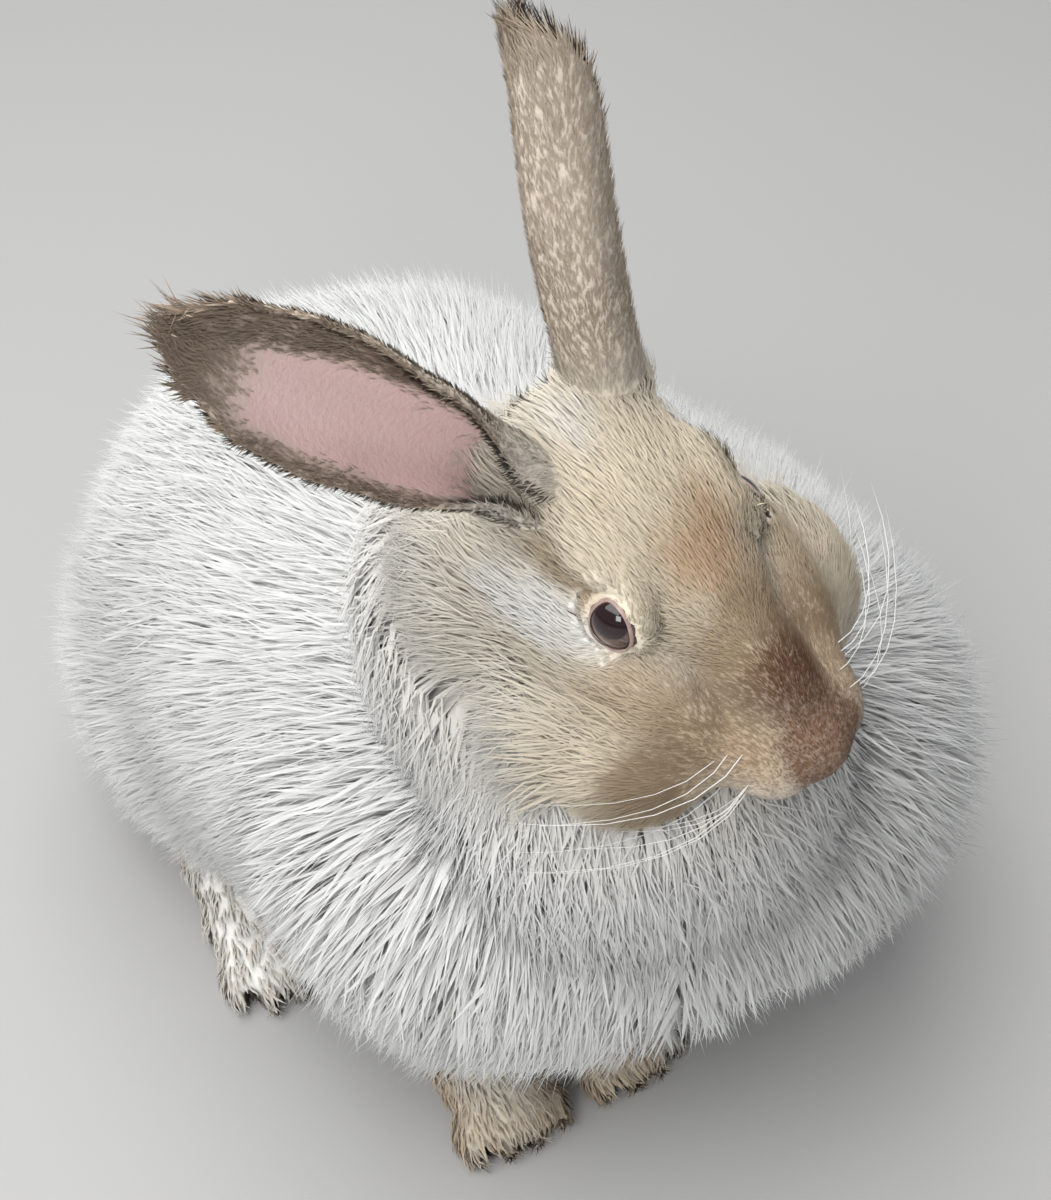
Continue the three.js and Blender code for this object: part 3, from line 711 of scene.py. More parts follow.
def ear_margin(u, v):
    """The furred margin of an ear's cup: broad along its upper edge, narrow below, and all of the tip."""
    upper = smooth(v + 0.25 * smooth(u, 0.5, 0.9), 0.16, 0.5)
    return np.maximum(np.maximum(upper, 0.9 * smooth(-v, 0.62, 0.9)), smooth(u, 0.7, 0.9))


skin_points = points_of(skin)
inner = np.zeros(len(skin_points))
rim = np.zeros(len(skin_points))
furred = np.zeros(len(skin_points))
for ear in EARS.values():
    u, v, depth = ear_coordinates(ear, skin_points)
    on = (u > 0.02) & (depth > -2.5) & (depth < 5.5) & (np.abs(v) < 1.15)
    margin = ear_margin(u, v)
    inner = np.where(on, smooth(depth, 1.1, 1.6) * (1 - margin), inner)
    rim = np.where(on, margin * smooth(u, 0.12, 0.34) * smooth(depth, 0.6, 1.4), rim)
    furred = np.where(on, smooth(u, 0.06, 0.3), furred)
lips, slits = pressed(to_head(skin_points))
skin_colours = coat_colours(skin_points)
for tint, share in (
    (EAR_FAWN, 0.85 * furred),
    (TAUPE, 0.8 * rim),
    # inner ear skin: its pink, brightened with painted light for the light that shines through the ear
    (EAR_PINK_WITH_PAINTED_LIGHT, 0.95 * inner),
    (LIP_PINK, 0.85 * np.maximum(0.8 * lips, slits)),
):
    skin_colours = blend(skin_colours, tint, share)
paint(skin, skin_colours)

skin_finish, start, shell = new_finish("skin_and_short_fur")
base = attribute(start, "coat_colour", out="Color")
place = own_place(start)
nap = start.node("ShaderNodeTexNoise", {}, {"Vector": place, "Scale": 900.0, "Detail": 2.0}, out="Fac")
base = mixed(start, nap.between(0.35, 0.7) * 0.25, base, mixed(start, 0.5, base, colour(0.95, 0.9, 0.82)))
coloured(base, shell)
shell.inputs["Roughness"].default_value = 0.8
grain = start.node("ShaderNodeTexNoise", {}, {"Vector": place, "Scale": 650.0, "Detail": 4.0}, out="Fac")
bump = start.node("ShaderNodeBump", {}, {"Height": grain, "Strength": 0.5, "Distance": 0.0006}, out="Normal")
start.tree.links.new(bump.socket, shell.inputs["Normal"])
skin.data.materials.clear()
skin.data.materials.append(skin_finish)


def unwrapped(points, centre, turn=np.eye(3)):
    """Where each point falls on the skin when it is peeled like a map, from 0 to 1 both ways."""
    d = (points - np.array(centre, float)) @ turn
    wide = np.arctan2(d[:, 0], d[:, 1]) / (2 * math.pi) + 0.5
    high = np.arcsin(d[:, 2] / np.maximum(np.linalg.norm(d, axis=1), 1e-6)) / math.pi + 0.5
    return np.stack([0.01 + 0.97 * wide, 0.01 + 0.97 * high], axis=1)


def bake_map(piece, places):
    """Gives a piece the map OFBake, with one place for each of its points."""
    corners = np.empty(len(piece.data.loops), np.int32)
    piece.data.loops.foreach_get("vertex_index", corners)
    layer = piece.data.uv_layers.new(name="OFBake")
    layer.data.foreach_set("uv", places[corners].astype(np.float32).ravel())


# The eyes: wet dark balls with a wide maroon pupil in a grey-brown iris, under a clear bulging cornea.
# Each is a ball whose front is drawn out a little, set into its socket so that only the opening shows.
def gaze_of(side):
    centre, outward, forward, upward = eye_axes(side)
    return from_head(centre), HEAD_TURNED @ unit([0.74 * side, 0.0, 0.64])


for side, name in ((-1, "eye_right"), (1, "eye_left")):
    centre, look = gaze_of(side)
    bpy.ops.mesh.primitive_uv_sphere_add(segments=64, ring_count=48, radius=EYE_RADIUS / 1000)
    eye = bpy.context.object
    eye.name = name + "_ball"
    globe = raw_points(eye) * 1000
    front = smooth(globe[:, 2] / EYE_RADIUS, 0.72, 1.0)
    globe *= (1 + 0.045 * front)[:, None]
    facing = np.array(Vector(look).to_track_quat("Z", "Y").to_matrix())
    move_points(eye, centre + globe @ facing.T)
    bpy.ops.object.shade_smooth()
    finish, start, shell = new_finish(name + "_finish")
    place = own_place(start)
    near = start.node(
        "ShaderNodeMapping",
        {"vector_type": "TEXTURE"},
        {
            "Vector": place,
            "Location": tuple(metres(centre)),
            "Rotation": tuple(Matrix(facing.tolist()).to_euler("XYZ")),
            "Scale": (0.001, 0.001, 0.001),
        },
    )
    flat_place = start.node("ShaderNodeVectorMath", {"operation": "MULTIPLY"}, {0: near, 1: (1, 1, 0)})
    far = start.node("ShaderNodeVectorMath", {"operation": "LENGTH"}, {0: flat_place}, out="Value")
    streaks = start.node(
        "ShaderNodeTexNoise", {}, {"Vector": near, "Scale": 1.4, "Detail": 4.0}, out="Fac"
    )
    iris = mixed(start, streaks.between(0.3, 0.7), colour(0.075, 0.045, 0.04), colour(0.15, 0.10, 0.085))
    ringed = mixed(start, far.between(5.6, 6.4), iris, colour(0.05, 0.03, 0.03))
    seen = mixed(start, 1 - far.between(4.1, 4.7), ringed, colour(0.016, 0.004, 0.005))
    coloured(seen, shell)
    shell.inputs["Roughness"].default_value = 0.12
    shell.inputs["Coat Weight"].default_value = 1.0
    shell.inputs["Coat Roughness"].default_value = 0.02
    shell.inputs["IOR"].default_value = 1.38
    shell.inputs["Specular IOR Level"].default_value = 0.2
    eye.data.materials.append(finish)
    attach(eye, "root")
    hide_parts(name)

    # The bare rim of the lids: a smooth pinkish ring round the almond opening, thicker in the front corner
    bpy.ops.mesh.primitive_torus_add(major_segments=96, minor_segments=12, major_radius=1, minor_radius=0.25)
    rim_ring = bpy.context.object
    rim_ring.name = name + "_rim"
    ring = raw_points(rim_ring)
    round_way = np.arctan2(ring[:, 1], ring[:, 0])
    out_by = (np.hypot(ring[:, 0], ring[:, 1]) - 1) / 0.25
    up_by = ring[:, 2] / 0.25
    thick = 0.36 + 0.45 * smooth(np.cos(round_way), 0.75, 1.0)
    pinch = 1 - OPENING_PINCH * np.cos(round_way) ** 4
    long = (OPENING_LONG * 0.985 + out_by * thick) * np.cos(round_way)
    high = (OPENING_HIGH * 0.985 * pinch + out_by * thick) * np.sin(round_way)
    slant = math.radians(OPENING_SLANT)
    across = long * math.cos(slant) + high * math.sin(slant)
    above = high * math.cos(slant) - long * math.sin(slant)
    local_centre, outward, forward, upward = eye_axes(side)
    depth = np.sqrt(np.maximum(1, BALL_CLEARED**2 - across**2 - above**2)) + up_by * thick
    local_ring = (
        local_centre
        + across[:, None] * forward
        + above[:, None] * upward
        + depth[:, None] * outward
    )
    move_points(rim_ring, from_head(local_ring))
    faced_outwards()
    bpy.ops.object.shade_smooth()
    finish, start, shell = new_finish(name + "_rim_finish")
    place = own_place(start)
    mottle = start.node("ShaderNodeTexNoise", {}, {"Vector": place, "Scale": 500.0, "Detail": 3.0}, out="Fac")
    tint = mixed(start, mottle.between(0.3, 0.7), colour(0.36, 0.25, 0.225), colour(0.48, 0.35, 0.31))
    coloured(tint, shell)
    shell.inputs["Roughness"].default_value = 0.38
    rim_ring.data.materials.append(finish)
    rim_ring.select_set(False)
    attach(rim_ring, "root")


# The coat grows from the skin in tufts: each is a thin tapered blade of three faces, bent along the lie of
# the coat, with its root sunk in the skin and its tip drawn to a point. Many lie over one another.
def tufts(name, ridge, out, width, thick, peel, tone, colours=None, rounding=0.22):
    """One mesh of all tufts. Ridge holds each one's stations, root to tip, and peel its place on the map."""
    count, stations = ridge.shape[:2]
    sections = stations - 1
    way = np.gradient(ridge, axis=1)
    side = normed(np.cross(way, out))
    high = normed(np.cross(side, way))
    half = width[:, :sections, None] / 2
    lift = thick[:, None, None] * np.ones((1, sections, 1))
    body = ridge[:, :sections]
    left = body + side[:, :sections] * half - high[:, :sections] * lift * 0.3
    crest = body + high[:, :sections] * lift * 0.7
    right = body - side[:, :sections] * half - high[:, :sections] * lift * 0.3
    rings = np.stack([left, crest, right], axis=2).reshape(count, sections * 3, 3)
    points = np.concatenate([rings, ridge[:, -1:]], axis=1)
    per = sections * 3 + 1
    faces = [[0, 1, 2]]
    for s in range(sections - 1):
        for k in range(3):
            a, b = s * 3 + k, s * 3 + (k + 1) % 3
            faces.append([a, a + 3, b + 3, b])
    last, tip = (sections - 1) * 3, sections * 3
    faces += [[last + k, tip, last + (k + 1) % 3] for k in range(3)]
    order = np.array([v for face in faces for v in face])
    sizes = np.array([len(face) for face in faces])
    corners = (np.arange(count)[:, None] * per + order).ravel()
    starts = (np.arange(count)[:, None] * len(order) + np.concatenate([[0], np.cumsum(sizes)[:-1]])).ravel()
    mesh = bpy.data.meshes.new(name)
    mesh.vertices.add(count * per)
    mesh.vertices.foreach_set("co", metres(points).astype(np.float32).ravel())
    mesh.loops.add(len(corners))
    mesh.loops.foreach_set("vertex_index", corners.astype(np.int32))
    mesh.polygons.add(len(starts))
    mesh.polygons.foreach_set("loop_start", starts.astype(np.int32))
    mesh.polygons.foreach_set("use_smooth", np.ones(len(starts), bool))
    mesh.update(calc_edges=True)
    rounded = np.stack(
        [
            out[:, :sections] + side[:, :sections] * rounding,
            out[:, :sections],
            out[:, :sections] - side[:, :sections] * rounding,
        ],
        axis=2,
    ).reshape(count, sections * 3, 3)
    shading = np.concatenate([rounded, out[:, -1:]], axis=1).reshape(-1, 3)
    mesh.normals_split_custom_set_from_vertices(normed(shading))
    piece = bpy.data.objects.new(name, mesh)
    bpy.context.scene.collection.objects.link(piece)
    share = np.minimum(np.arange(per) // 3 / sections, 1.0)
    spread = np.append(np.tile([0.0, 0.5, 1.0], sections), 0.5)
    offset = np.stack([spread - 0.5, share - 0.5], axis=1) * 0.003
    places = np.clip((peel[:, None] + offset).reshape(-1, 2), 0, 1)
    bake_map(piece, places)
    mark(piece, "tone", np.repeat(tone, per))
    mark(piece, "share", np.tile(share, count))
    paint(piece, np.repeat(coat_colours(ridge[:, 0]) if colours is None else colours, per, axis=0))
    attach(piece, "root")
    return piece


def dressed(piece, finish):
    piece.data.materials.append(finish)


def scattered(surface, count, random, weigh):
    """Points spread over a surface, with the way out at each. Weigh gives each place's share of them."""
    points, triangles, normals = surface
    a, b, c = (points[triangles[:, k]] for k in range(3))
    area = np.linalg.norm(np.cross(b - a, c - a), axis=1) / 2
    weight = area * weigh((a + b + c) / 3)
    chosen = random.choice(len(triangles), count, p=weight / weight.sum())
    u, v = random.random(count), random.random(count)
    flip = u + v > 1
    u[flip], v[flip] = 1 - u[flip], 1 - v[flip]
    w = np.stack([1 - u - v, u, v], axis=1)
    spots = np.einsum("nk,nkd->nd", w, points[triangles[chosen]])
    out = np.einsum("nk,nkd->nd", w, normals[triangles[chosen]])
    return spots, normed(out)


def along_surface(way, out):
    return normed(way - out * np.sum(way * out, axis=1, keepdims=True))


def swung(way, out, angle):
    """Turns each way about the way out."""
    return way * np.cos(angle)[:, None] + np.cross(out, way) * np.sin(angle)[:, None]


# The wool of the trunk, neck and thighs: long, soft, white locks that sweep back and down over the body,
# fall straight down the chest and hang at the hem over the feet. Strands gather towards the tips of locks.
spine_back = np.array([-math.sin(math.radians(BODY_TURN)), math.cos(math.radians(BODY_TURN)), 0])
HEM_FRONT, HEM_BACK = 24, 6


def wool_lie(points, neckness):
    chest = 1 - smooth(points[:, 1], -90, -20)
    sideways = (0.1 + 0.25 * chest) * np.sign(points[:, 0] - 8)
    over_trunk = spine_back * (0.85 - 0.7 * chest)[:, None]
    over_trunk[:, 0] += sideways
    over_trunk[:, 2] -= 0.7 + 0.2 * chest
    around = points - np.array([10, -74, 0])
    around[:, 2] = 0
    around = 0.7 * normed(around)
    around[:, 2] -= 1
    return over_trunk * (1 - neckness)[:, None] + around * neckness[:, None]


def hem_at(points):
    return (
        HEM_FRONT
        + (HEM_BACK - HEM_FRONT) * smooth(points[:, 1], -70, -10)
        + np.maximum(0, -86 - points[:, 1])
    )


def above(points, low, soft=3.0):
    points = points.copy()
    points[:, 2] = low + soft * np.logaddexp(0, (points[:, 2] - low) / soft)
    return points


WOOL_TOP, NECK_TOP = 33, 22
BEND_AT, BEND_RISE, LAID = 0.13, 0.9, 0.34
UNDERWOOL, UNDERWOOL_TOP, UNDERWOOL_WIDTH = 0.24, 0.87, 2.6


def wool_rows(count, seed, weigh):
    """The stations of a stretch of wool, with the way out at each."""
    random = np.random.default_rng(seed)
    roots, out = scattered(body_surface, count, random, weigh)
    leaders = np.arange(0, count, 22)
    tree = KDTree(len(leaders))
    for k, i in enumerate(leaders):
        tree.insert(roots[i], k)
    tree.balance()
    mine = leaders[[tree.find(p)[1] for p in roots]]
    neckness = 1 / (1 + np.exp(np.clip((off_balls(roots, NECK, 8) - off_trunk(roots)) / 4, -30, 30)))
    under = random.random(count) < UNDERWOOL
    lively = random.normal(size=count)
    sway = 0.3 * drift(roots, 70, 11) + 0.1 * lively[mine] + 0.24 * random.normal(size=count)
    top = (WOOL_TOP * (1 - neckness) + NECK_TOP * neckness) * (0.94 + 0.08 * drift(roots, 48, 12))
    top = top * np.where(under, UNDERWOOL_TOP, 1 - 0.12 * random.random(count))
    top = top + 5 * (random.random(count) < 0.06) * random.random(count)
    length = (54 * (1 - neckness) + 44 * neckness) * (0.8 + 0.4 * random.random(count))
    here = roots - out * 1.5
    rows, ways_out = [here], [out]
    for share, rise in ((BEND_AT, BEND_RISE), (LAID, 1.0)):
        outward = out_of(off_body, here)
        way = swung(along_surface(wool_lie(here, neckness), outward), outward, sway)
        here = here + way * (length * share)[:, None]
        here = settle(off_body, here, -WOOL_ROOTS + (top + WOOL_ROOTS) * rise, steps=2)
        rows.append(here)
        ways_out.append(outward)
    ridge = np.stack(rows, axis=1)
    tightness = (0.15 + 0.5 * random.random(count)) * (1 + 0.9 * (1 - smooth(ridge[:, 2, 2], 34, 90)))
    for s, pull, loose in ((1, 0.2, 1.0), (2, 0.45, 1.7)):
        ridge[:, s] += (ridge[mine, s] - ridge[:, s]) * (pull * tightness)[:, None]
        ridge[:, s] += random.normal(size=(count, 3)) * (loose * np.where(under, 0.3, 1))[:, None]
    ragged = hem_at(ridge[:, 2]) + 18 * random.random(count)[mine] ** 1.5 + 4 * random.random(count)
    for s in (1, 2):
        ridge[:, s] = above(ridge[:, s], ragged)
        buried = off_head(ridge[:, s]) < 1.0
        if buried.any():
            ridge[buried, s] = settle(off_head, ridge[buried, s], 1.5, steps=3)
    out = np.stack(ways_out, axis=1)
    width = np.where(under, UNDERWOOL_WIDTH, 0.45 + 0.35 * random.random(count))
    width = width[:, None] * np.array([[1.1, 1.0]])
    tone = np.clip(0.6 + 0.1 * lively[mine] + 0.15 * random.normal(size=count), 0, 1)
    return ridge, out, width, 0.3 * np.ones(count), unwrapped(roots, (14, 8, 100)), tone


LET_THROUGH = 0.25


def wool_finish(name, tip, root, glow):
    """Matt hair in the coat's own colour that lets a share of the light through, tinted by the fixed glow."""
    finish, start, shell = new_finish(name)
    base = attribute(start, "coat_colour", out="Color")
    tone, share = attribute(start, "tone"), attribute(start, "share")
    base = multiplied(start, 1.0, base, mixed(start, tone, root, tip))
    base = multiplied(start, 1 - share, base, colour(0.98, 0.96, 0.93))
    coloured(base, shell)
    shell.inputs["Roughness"].default_value = 0.9
    shell.inputs["Specular IOR Level"].default_value = 0.0
    paleness = attribute(start, "coat_colour") * (3 / sum(glow[:3]))
    opaque = start.node("ShaderNodeBsdfTranslucent", {}, {"Color": colour(0, 0, 0)})
    clear = start.node("ShaderNodeBsdfTranslucent", {}, {"Color": glow})
    through = start.node("ShaderNodeMixShader", {}, {0: paleness, 1: opaque, 2: clear})
    surface = Value(start.tree, shell.outputs[0])
    softened = start.node("ShaderNodeMixShader", {}, {0: LET_THROUGH, 1: surface, 2: through})
    start.tree.links.new(softened.socket, start.tree.nodes["Material Output"].inputs["Surface"])
    return finish


white_finish = wool_finish("white_wool", colour(1, 1, 1), colour(0.97, 0.965, 0.95), colour(0.95, 0.95, 0.93))

WOOL_STRANDS = 12200


LEFT_SHOULDER, PARTING_WIDE = np.array([86, -38, 130]), 28


def wool_ground(points):
    """1 where wool grows, more at the left shoulder, where its lie parts, and 0 under the head and belly."""
    parting = np.linalg.norm(points - LEFT_SHOULDER, axis=1) / PARTING_WIDE
    free = (off_head(points) > 1.5) & (points[:, 2] > BELLY + 1.5)
    return free * (1 + 3 * np.exp(-(parting**2)))


for name, seed, region in (
    ("wool_rump", 101, lambda p: (p[:, 1] > 62)),
    ("wool_right_flank", 102, lambda p: (p[:, 1] <= 62) & (p[:, 1] > -35) & (p[:, 0] <= 14)),
    ("wool_left_flank", 103, lambda p: (p[:, 1] <= 62) & (p[:, 1] > -35) & (p[:, 0] > 14)),
    ("wool_chest", 104, lambda p: (p[:, 1] <= -35) & (p[:, 2] < 128)),
    ("wool_neck", 105, lambda p: (p[:, 1] <= -35) & (p[:, 2] >= 128)),
):
    rows = wool_rows(
        WOOL_STRANDS, seed, lambda p: region(p) * wool_ground(p) * (0.4 + 0.6 * smooth(p[:, 2], 30, 60))
    )
    piece = tufts(name, *rows, rounding=0.15)
    dressed(piece, white_finish)

# The tail: a short upright scut under a puff of wool that spreads from its root and hangs over the rump.
# Its tufts bend once and are kept above the floor and inside the length of the body.
random = np.random.default_rng(106)
count = 3600
roots, out = scattered(tail_surface, count, random, lambda p: (p[:, 1] > 132) * 1.0)
way = along_surface(roots - np.array(tail_centre) + np.array([0, 0, -18]), out)
reach = 22 + 9 * random.random(count)
bend = 0.3 * random.normal(size=count)
way = swung(way, out, bend)
ridge = np.stack(
    [
        roots - out,
        roots + way * (reach * 0.5)[:, None] + out * 6 + np.array([0, 0, -2]),
        roots + way * reach[:, None] + out * 7 + np.array([0, 0, -8]),
    ],
    axis=1,
) + random.normal(size=(count, 3, 3)) * 0.8
ridge[:, :, 1] = np.minimum(ridge[:, :, 1], 178 + random.random((count, 1)))
ridge[:, :, 2] = np.maximum(ridge[:, :, 2], 9)
piece = tufts(
    "wool_tail",
    ridge,
    np.repeat(out[:, None], 3, axis=1),
    0.8 * np.ones((count, 2)),
    0.35 * np.ones(count),
    unwrapped(roots, tail_centre),
    random.random(count),
)
dressed(piece, white_finish)


# The fur of the head: short and close on the muzzle, longer over the brow, and long and soft on the cheeks
# and behind them, where it runs into the wool. It lies back from the nose and parts round the eyes.
def head_lie(local):
    way = np.zeros_like(local)
    low = smooth(-local[:, 2], 5, 40)
    way[:, 1] = 1.0 - 0.35 * low
    way[:, 2] = -0.15 - 0.75 * low + 0.35 * smooth(local[:, 2], 4, 18)
    way[:, 0] = 0.12 * np.sign(local[:, 0]) * smooth(np.abs(local[:, 0]), 2, 10)
    for side in (-1, 1):
        reach, d = opening_at(local, side)
        near = 1 - smooth(reach, 1.2, 2.4)
        away = normed(d)
        outward = eye_axes(side)[1]
        away = normed(away - outward * (away @ outward)[:, None])
        way += away * (1.3 * near)[:, None]
    return way


def fur_length(local):
    x, y, z = np.abs(local[:, 0]), local[:, 1], local[:, 2]
    length = 1.8 + 1.6 * smooth(y, -66, -40) + 3.0 * smooth(y, -38, -8) + 3.0 * smooth(y, 0, 26)
    length += 5.5 * smooth(x, 24, 42) * smooth(-z, 0, 24) + 5.0 * smooth(y, 4, 30) * smooth(-z, -2, 20)
    for side in (-1, 1):
        reach, _ = opening_at(local, side)
        length *= 0.4 + 0.6 * smooth(reach, 1.15, 2.3)
    brow = np.linalg.norm(local - np.array([20, -5, 17]), axis=1)
    return length + 4 * np.exp(-((brow / 9) ** 2))


def short_tufts(name, roots, out, way, length, lift, width, peel, random, colours=None, bent=True):
    """Tufts that rise from the skin and bend over along it, or straight ones where they are very short."""
    count = len(roots)
    lift = lift * (0.7 + 0.6 * random.random(count))
    l, h = length[:, None], (length * lift)[:, None]
    ends = roots + way * l * 0.97 + out * h * 0.9
    rows = [roots - out * 0.4, ends]
    if bent:
        rows = [roots - out * 0.5, roots + way * l * 0.5 + out * h * 0.75, ends]
    ridge = np.stack(rows, axis=1)
    stations = ridge.shape[1]
    ridge[:, 1:] += random.normal(size=(count, stations - 1, 3)) * (0.03 * length)[:, None, None]
    widths = width[:, None] * np.array([[1.0, 0.85][: stations - 1]])
    tone = random.random(count)
    every = np.repeat(out[:, None], stations, axis=1)
    return tufts(name, ridge, every, widths, width * 0.3, peel, tone, colours)


FAWN_GLOW = colour(0.94, 0.84, 0.69)
fur_finish = wool_finish("short_fur", colour(1.04, 1.03, 1.02), colour(0.88, 0.86, 0.84), FAWN_GLOW)


def head_weigh(points):
    local = to_head(points)
    weight = np.ones(len(points))
    for side in (-1, 1):
        reach, _ = opening_at(local, side, on_ball=True)
        weight = weight * (reach > 1.07)
    lips, slits = pressed(local)
    weight = weight * (1 - np.clip(lips * 1.4 + slits * 1.6, 0, 1))
    buried = off_body(points) < -WOOL_ROOTS + 4
    return weight * ~buried * (0.7 + 0.5 * smooth(-local[:, 1], 0, 40))


for name, seed, count, bent, where in (
    ("muzzle_fur", 111, 28000, False, lambda p: p[:, 1] < -34),
    ("cheek_fur", 112, 13500, True, lambda p: (p[:, 1] >= -34) & (p[:, 2] < -6)),
    ("crown_fur", 113, 14500, True, lambda p: (p[:, 1] >= -34) & (p[:, 2] >= -6)),
):
    random = np.random.default_rng(seed)
    roots, out = scattered(head_surface, count, random, lambda p: head_weigh(p) * where(to_head(p)))
    local = to_head(roots)
    way = along_surface(head_lie(local) @ HEAD_TURNED.T, out)
    way = swung(way, out, 0.22 * drift(roots, 30, 13) + 0.11 * random.normal(size=count))
    length = fur_length(local) * (0.75 + 0.5 * random.random(count))
    lift = 0.2 + 0.09 * smooth(local[:, 1], -10, 25)
    width = 0.3 + 0.03 * length
    peel = unwrapped(local, HEAD_MIDDLE)
    piece = short_tufts(name, roots, out, way, length, lift, width, peel, random, bent=bent)
    dressed(piece, fur_finish)

# The ruff: long soft tufts from the back and the lower edge of the cheeks that lie out over the wool, so that
# the face runs into the coat with no edge. They follow the wool's surface down and back from the jowls.
random = np.random.default_rng(114)
count = 7000


def ruff_weigh(points):
    local, depth = to_head(points), off_body(points)
    edge = smooth(depth, -WOOL_ROOTS, -4) * (1 - smooth(depth, NECK_TOP - 4, NECK_TOP + 14))
    eye = np.linalg.norm(np.abs(local) - np.array([22, 7, 3]), axis=1)
    return edge * (local[:, 1] > -30) * (0.15 + smooth(-local[:, 2], -12, 14)) * smooth(eye, 18, 28)


roots, out = scattered(head_surface, count, random, ruff_weigh)
local = to_head(roots)
way = along_surface(head_lie(local) @ HEAD_TURNED.T, out)
way = swung(way, out, 0.3 * np.clip(random.normal(size=count), -1.6, 1.6))
long = 13 + 11 * random.random(count)
rows, ways_out, here = [roots - out], [out], roots
for share, rise in ((0.5, 0.85), (0.5, 1.0)):
    here = here + way * (long * share)[:, None] + out * (long * 0.1)[:, None]
    cover = np.maximum(off_body(here), NECK_TOP * rise - 3 * random.random(count))
    here = settle(off_body, here, cover, steps=2)
    outward = out_of(off_body, here)
    way = along_surface(way + np.array([0, 0.1, -0.3]), outward)
    rows.append(here)
    ways_out.append(outward + out)
ruff_ends = np.stack(rows, axis=1)
ruff_ends[:, 1:] += random.normal(size=(count, 2, 3)) * 0.9
piece = tufts(
    "ruff",
    ruff_ends,
    np.stack(ways_out, axis=1),
    (0.4 + 0.25 * random.random(count))[:, None] * np.array([[1.1, 1.0]]),
    0.3 * np.ones(count),
    unwrapped(local, HEAD_MIDDLE),
    random.random(count),
)
dressed(piece, white_finish)

# The fur of the ears: very short and lying to the tip on the back, finer hair along the rims and in the
# mouth of the cup, and a small tuft past the tip.
for name, seed, ear in (("ear_right", 121, EARS["ear_right"]), ("ear_left", 122, EARS["ear_left"])):
    random = np.random.default_rng(seed)
    count = 11500

    def ear_weigh(points, ear=ear):
        u, v, depth = ear_coordinates(ear, points)
        outside = depth < 1.3
        inside = (depth >= 1.3) * (1.3 * ear_margin(u, v) + 0.2 * smooth(0.22 - u, 0, 0.12))
        return np.where(outside, 1.0, inside) * (off_head(points) > -1.5)

    roots, out = scattered(ear_surfaces[name], count, random, ear_weigh)
    u, v, depth = ear_coordinates(ear, roots)
    up, face, across = ear_frame(ear)
    step = 0.02
    ahead = on_ear(ear, np.minimum(u + step, 1), v) - on_ear(ear, np.maximum(u - step, 0), v)
    aside = on_ear(ear, u, np.clip(v + step, -1, 1)) - on_ear(ear, u, np.clip(v - step, -1, 1))
    to_edge = np.sign(v) * smooth(np.abs(v), 0.3, 0.95)
    way = along_surface(normed(ahead) + normed(aside) * to_edge[:, None] * 0.55, out)
    way = swung(way, out, 0.18 * random.normal(size=count))
    inner_side = depth >= 1.3
    length = (3.6 + 1.2 * random.random(count)) * (1 + 0.5 * smooth(0.25 - u, 0, 0.2))
    length = np.where(inner_side, length * 1.25, length) * (1 + 0.9 * smooth(u, 0.82, 1))
    tone = random.random(count)
    spotted = 0.8 * np.exp(-(((u - 0.34) / 0.13) ** 2)) * (0.6 + 0.4 * drift(roots, 22, 15))
    edge = np.where(inner_side, ear_margin(u, v), spotted + 0.3 * smooth(u, 0.6, 1)) * smooth(u, 0.12, 0.34)
    edge = np.clip(edge + 0.08 * drift(roots, 16, 16), 0, 1)
    peel = np.stack([0.02 + 0.46 * (v * 0.5 + 0.5) + 0.49 * inner_side, 0.02 + 0.95 * u], axis=1)
    peel = np.clip(peel, 0.005, 0.995)
    piece = short_tufts(
        name + "_fur",
        roots,
        out,
        way,
        length,
        0.2 * np.ones(count),
        0.45 + 0.25 * random.random(count),
        peel,
        random,
        blend(blend(coat_colours(roots), EAR_FAWN, 0.9 * smooth(u, 0.08, 0.34)), TAUPE, 0.9 * edge),
        bent=False,
    )
    dressed(piece, fur_finish)

# The fur of the feet: short and cream, lying down to the toes, with a fawn flush on top of each foot. It
# grows denser round the toes, and its ends stop at the floor, where the real soles are soft.
foot_finish = wool_finish("foot_fur", colour(1.03, 1.02, 1.0), colour(0.86, 0.82, 0.76), FAWN_GLOW)
FOOT_NAMES = ("right_forefoot", "left_forefoot", "right_hindfoot", "left_hindfoot")


def foot_weigh(points):
    height = points[:, 2]
    return (height > 0.5) * (height < 52) * (1.0 + 1.2 * (height < 8))


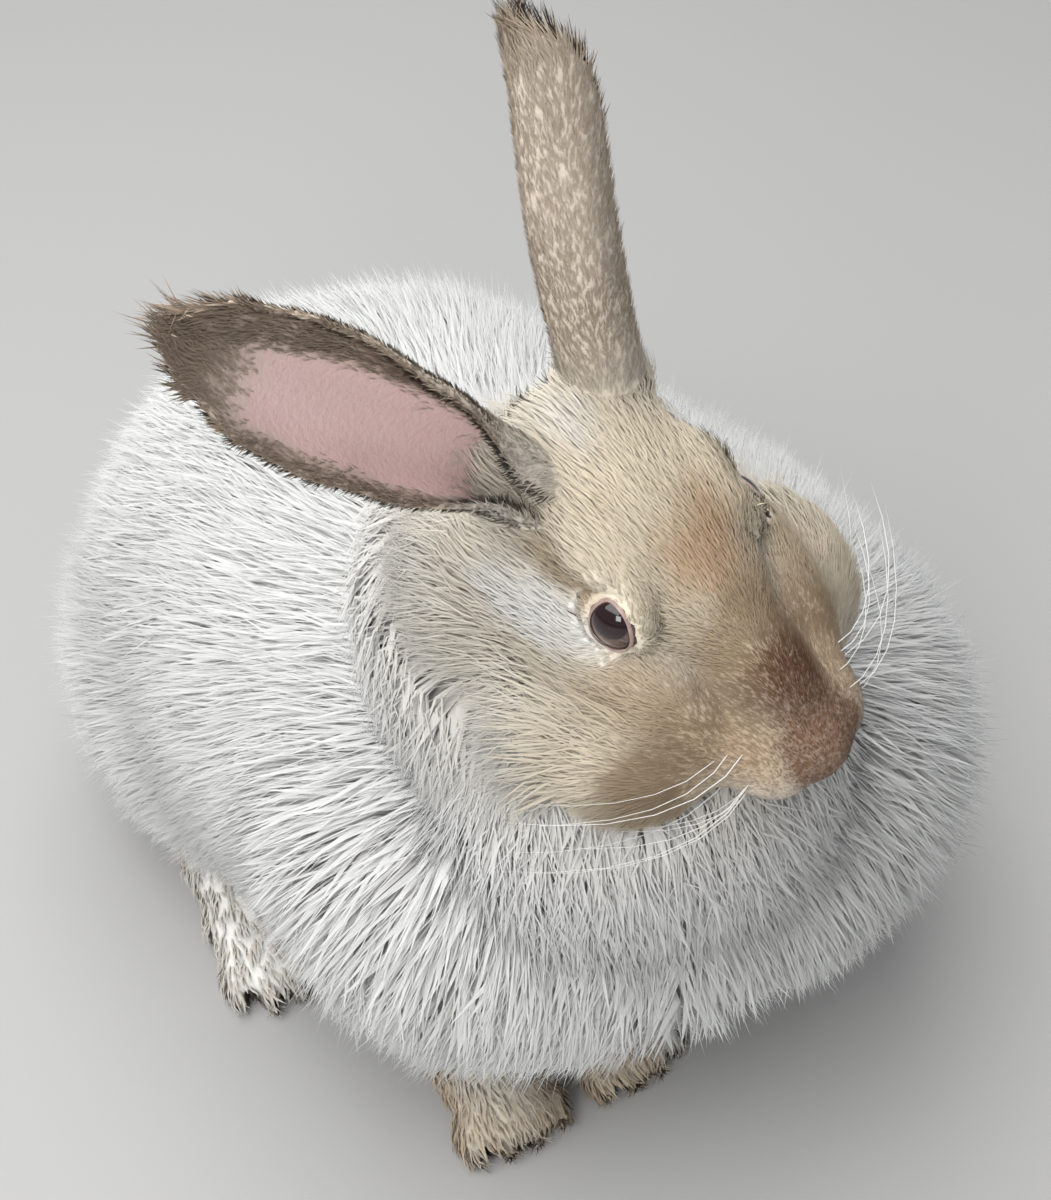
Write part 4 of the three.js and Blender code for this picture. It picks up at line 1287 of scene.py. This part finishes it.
for foot, surface, name in zip(FEET, foot_surfaces, FOOT_NAMES):
    random = np.random.default_rng(131 + int(abs(foot["middle"][0])))
    count = 3300
    roots, out = scattered(surface, count, random, foot_weigh)
    toe_way = turned(0, foot["turn"]) @ np.array([0, -1, -0.35])
    way = along_surface(np.tile(toe_way, (count, 1)), out)
    way = swung(way, out, 0.2 * random.normal(size=count))
    length = (5.0 + 3.5 * random.random(count)) * (1 + 0.8 * smooth(roots[:, 2], 14, 40))
    middle = np.array(foot["middle"], float) + np.array([0, 0, 12])
    piece = short_tufts(
        name + "_fur",
        roots,
        out,
        way,
        length,
        0.3 * np.ones(count),
        0.7 + 0.4 * random.random(count),
        unwrapped(roots, middle),
        random,
    )
    ends = points_of(piece)
    ends[:, 2] = np.maximum(ends[:, 2], 0.15)
    move_points(piece, ends)
    dressed(piece, foot_finish)

# The whiskers: long stiff white bristles, each a single thick hair, that grow from the pads of the upper lip
# and sweep out, back and down. Each is one fine tapered blade in six short lengths.
random = np.random.default_rng(141)
rows, outs = [], []
for side in (-1, 1):
    for k in range(9):
        spot = [side * (11 + 4 * random.random()), -58 + 12 * random.random(), -14 - 10 * random.random()]
        spot = np.array([spot])
        spot = settle(lambda p: off_balls(p, FLESH, 2.6), spot, -FUR_ROOTS - 0.8, steps=6)[0]
        out = unit([side, -0.25, -0.1 + 0.5 * random.random() - 0.3])
        back_way = unit([side * 0.75, 0.75 + 0.2 * random.random(), -0.75 + 0.7 * random.random()])
        long = 34 + 26 * random.random()
        t = np.linspace(0, 1, 7)[:, None]
        rows.append(spot + (out * t * (1 - 0.55 * t) + back_way * t * t * 0.9) * long)
        outs.append(np.tile([0.3 * side, -0.2, 1.0], (7, 1)))
ridge = from_head(np.array(rows))
out = np.array(outs) @ HEAD_TURNED.T
count = len(ridge)
piece = tufts(
    "whiskers",
    ridge,
    out,
    np.tile(np.linspace(0.26, 0.12, 6), (count, 1)),
    0.24 * np.ones(count),
    unwrapped(to_head(ridge[:, 0]), HEAD_MIDDLE),
    random.random(count),
)
whisker_finish, start, shell = new_finish("whisker_bristle")
tone = attribute(start, "tone")
tint = mixed(start, tone, colour(0.80, 0.78, 0.72), colour(0.95, 0.94, 0.92))
coloured(tint, shell)
shell.inputs["Roughness"].default_value = 0.35
dressed(piece, whisker_finish)
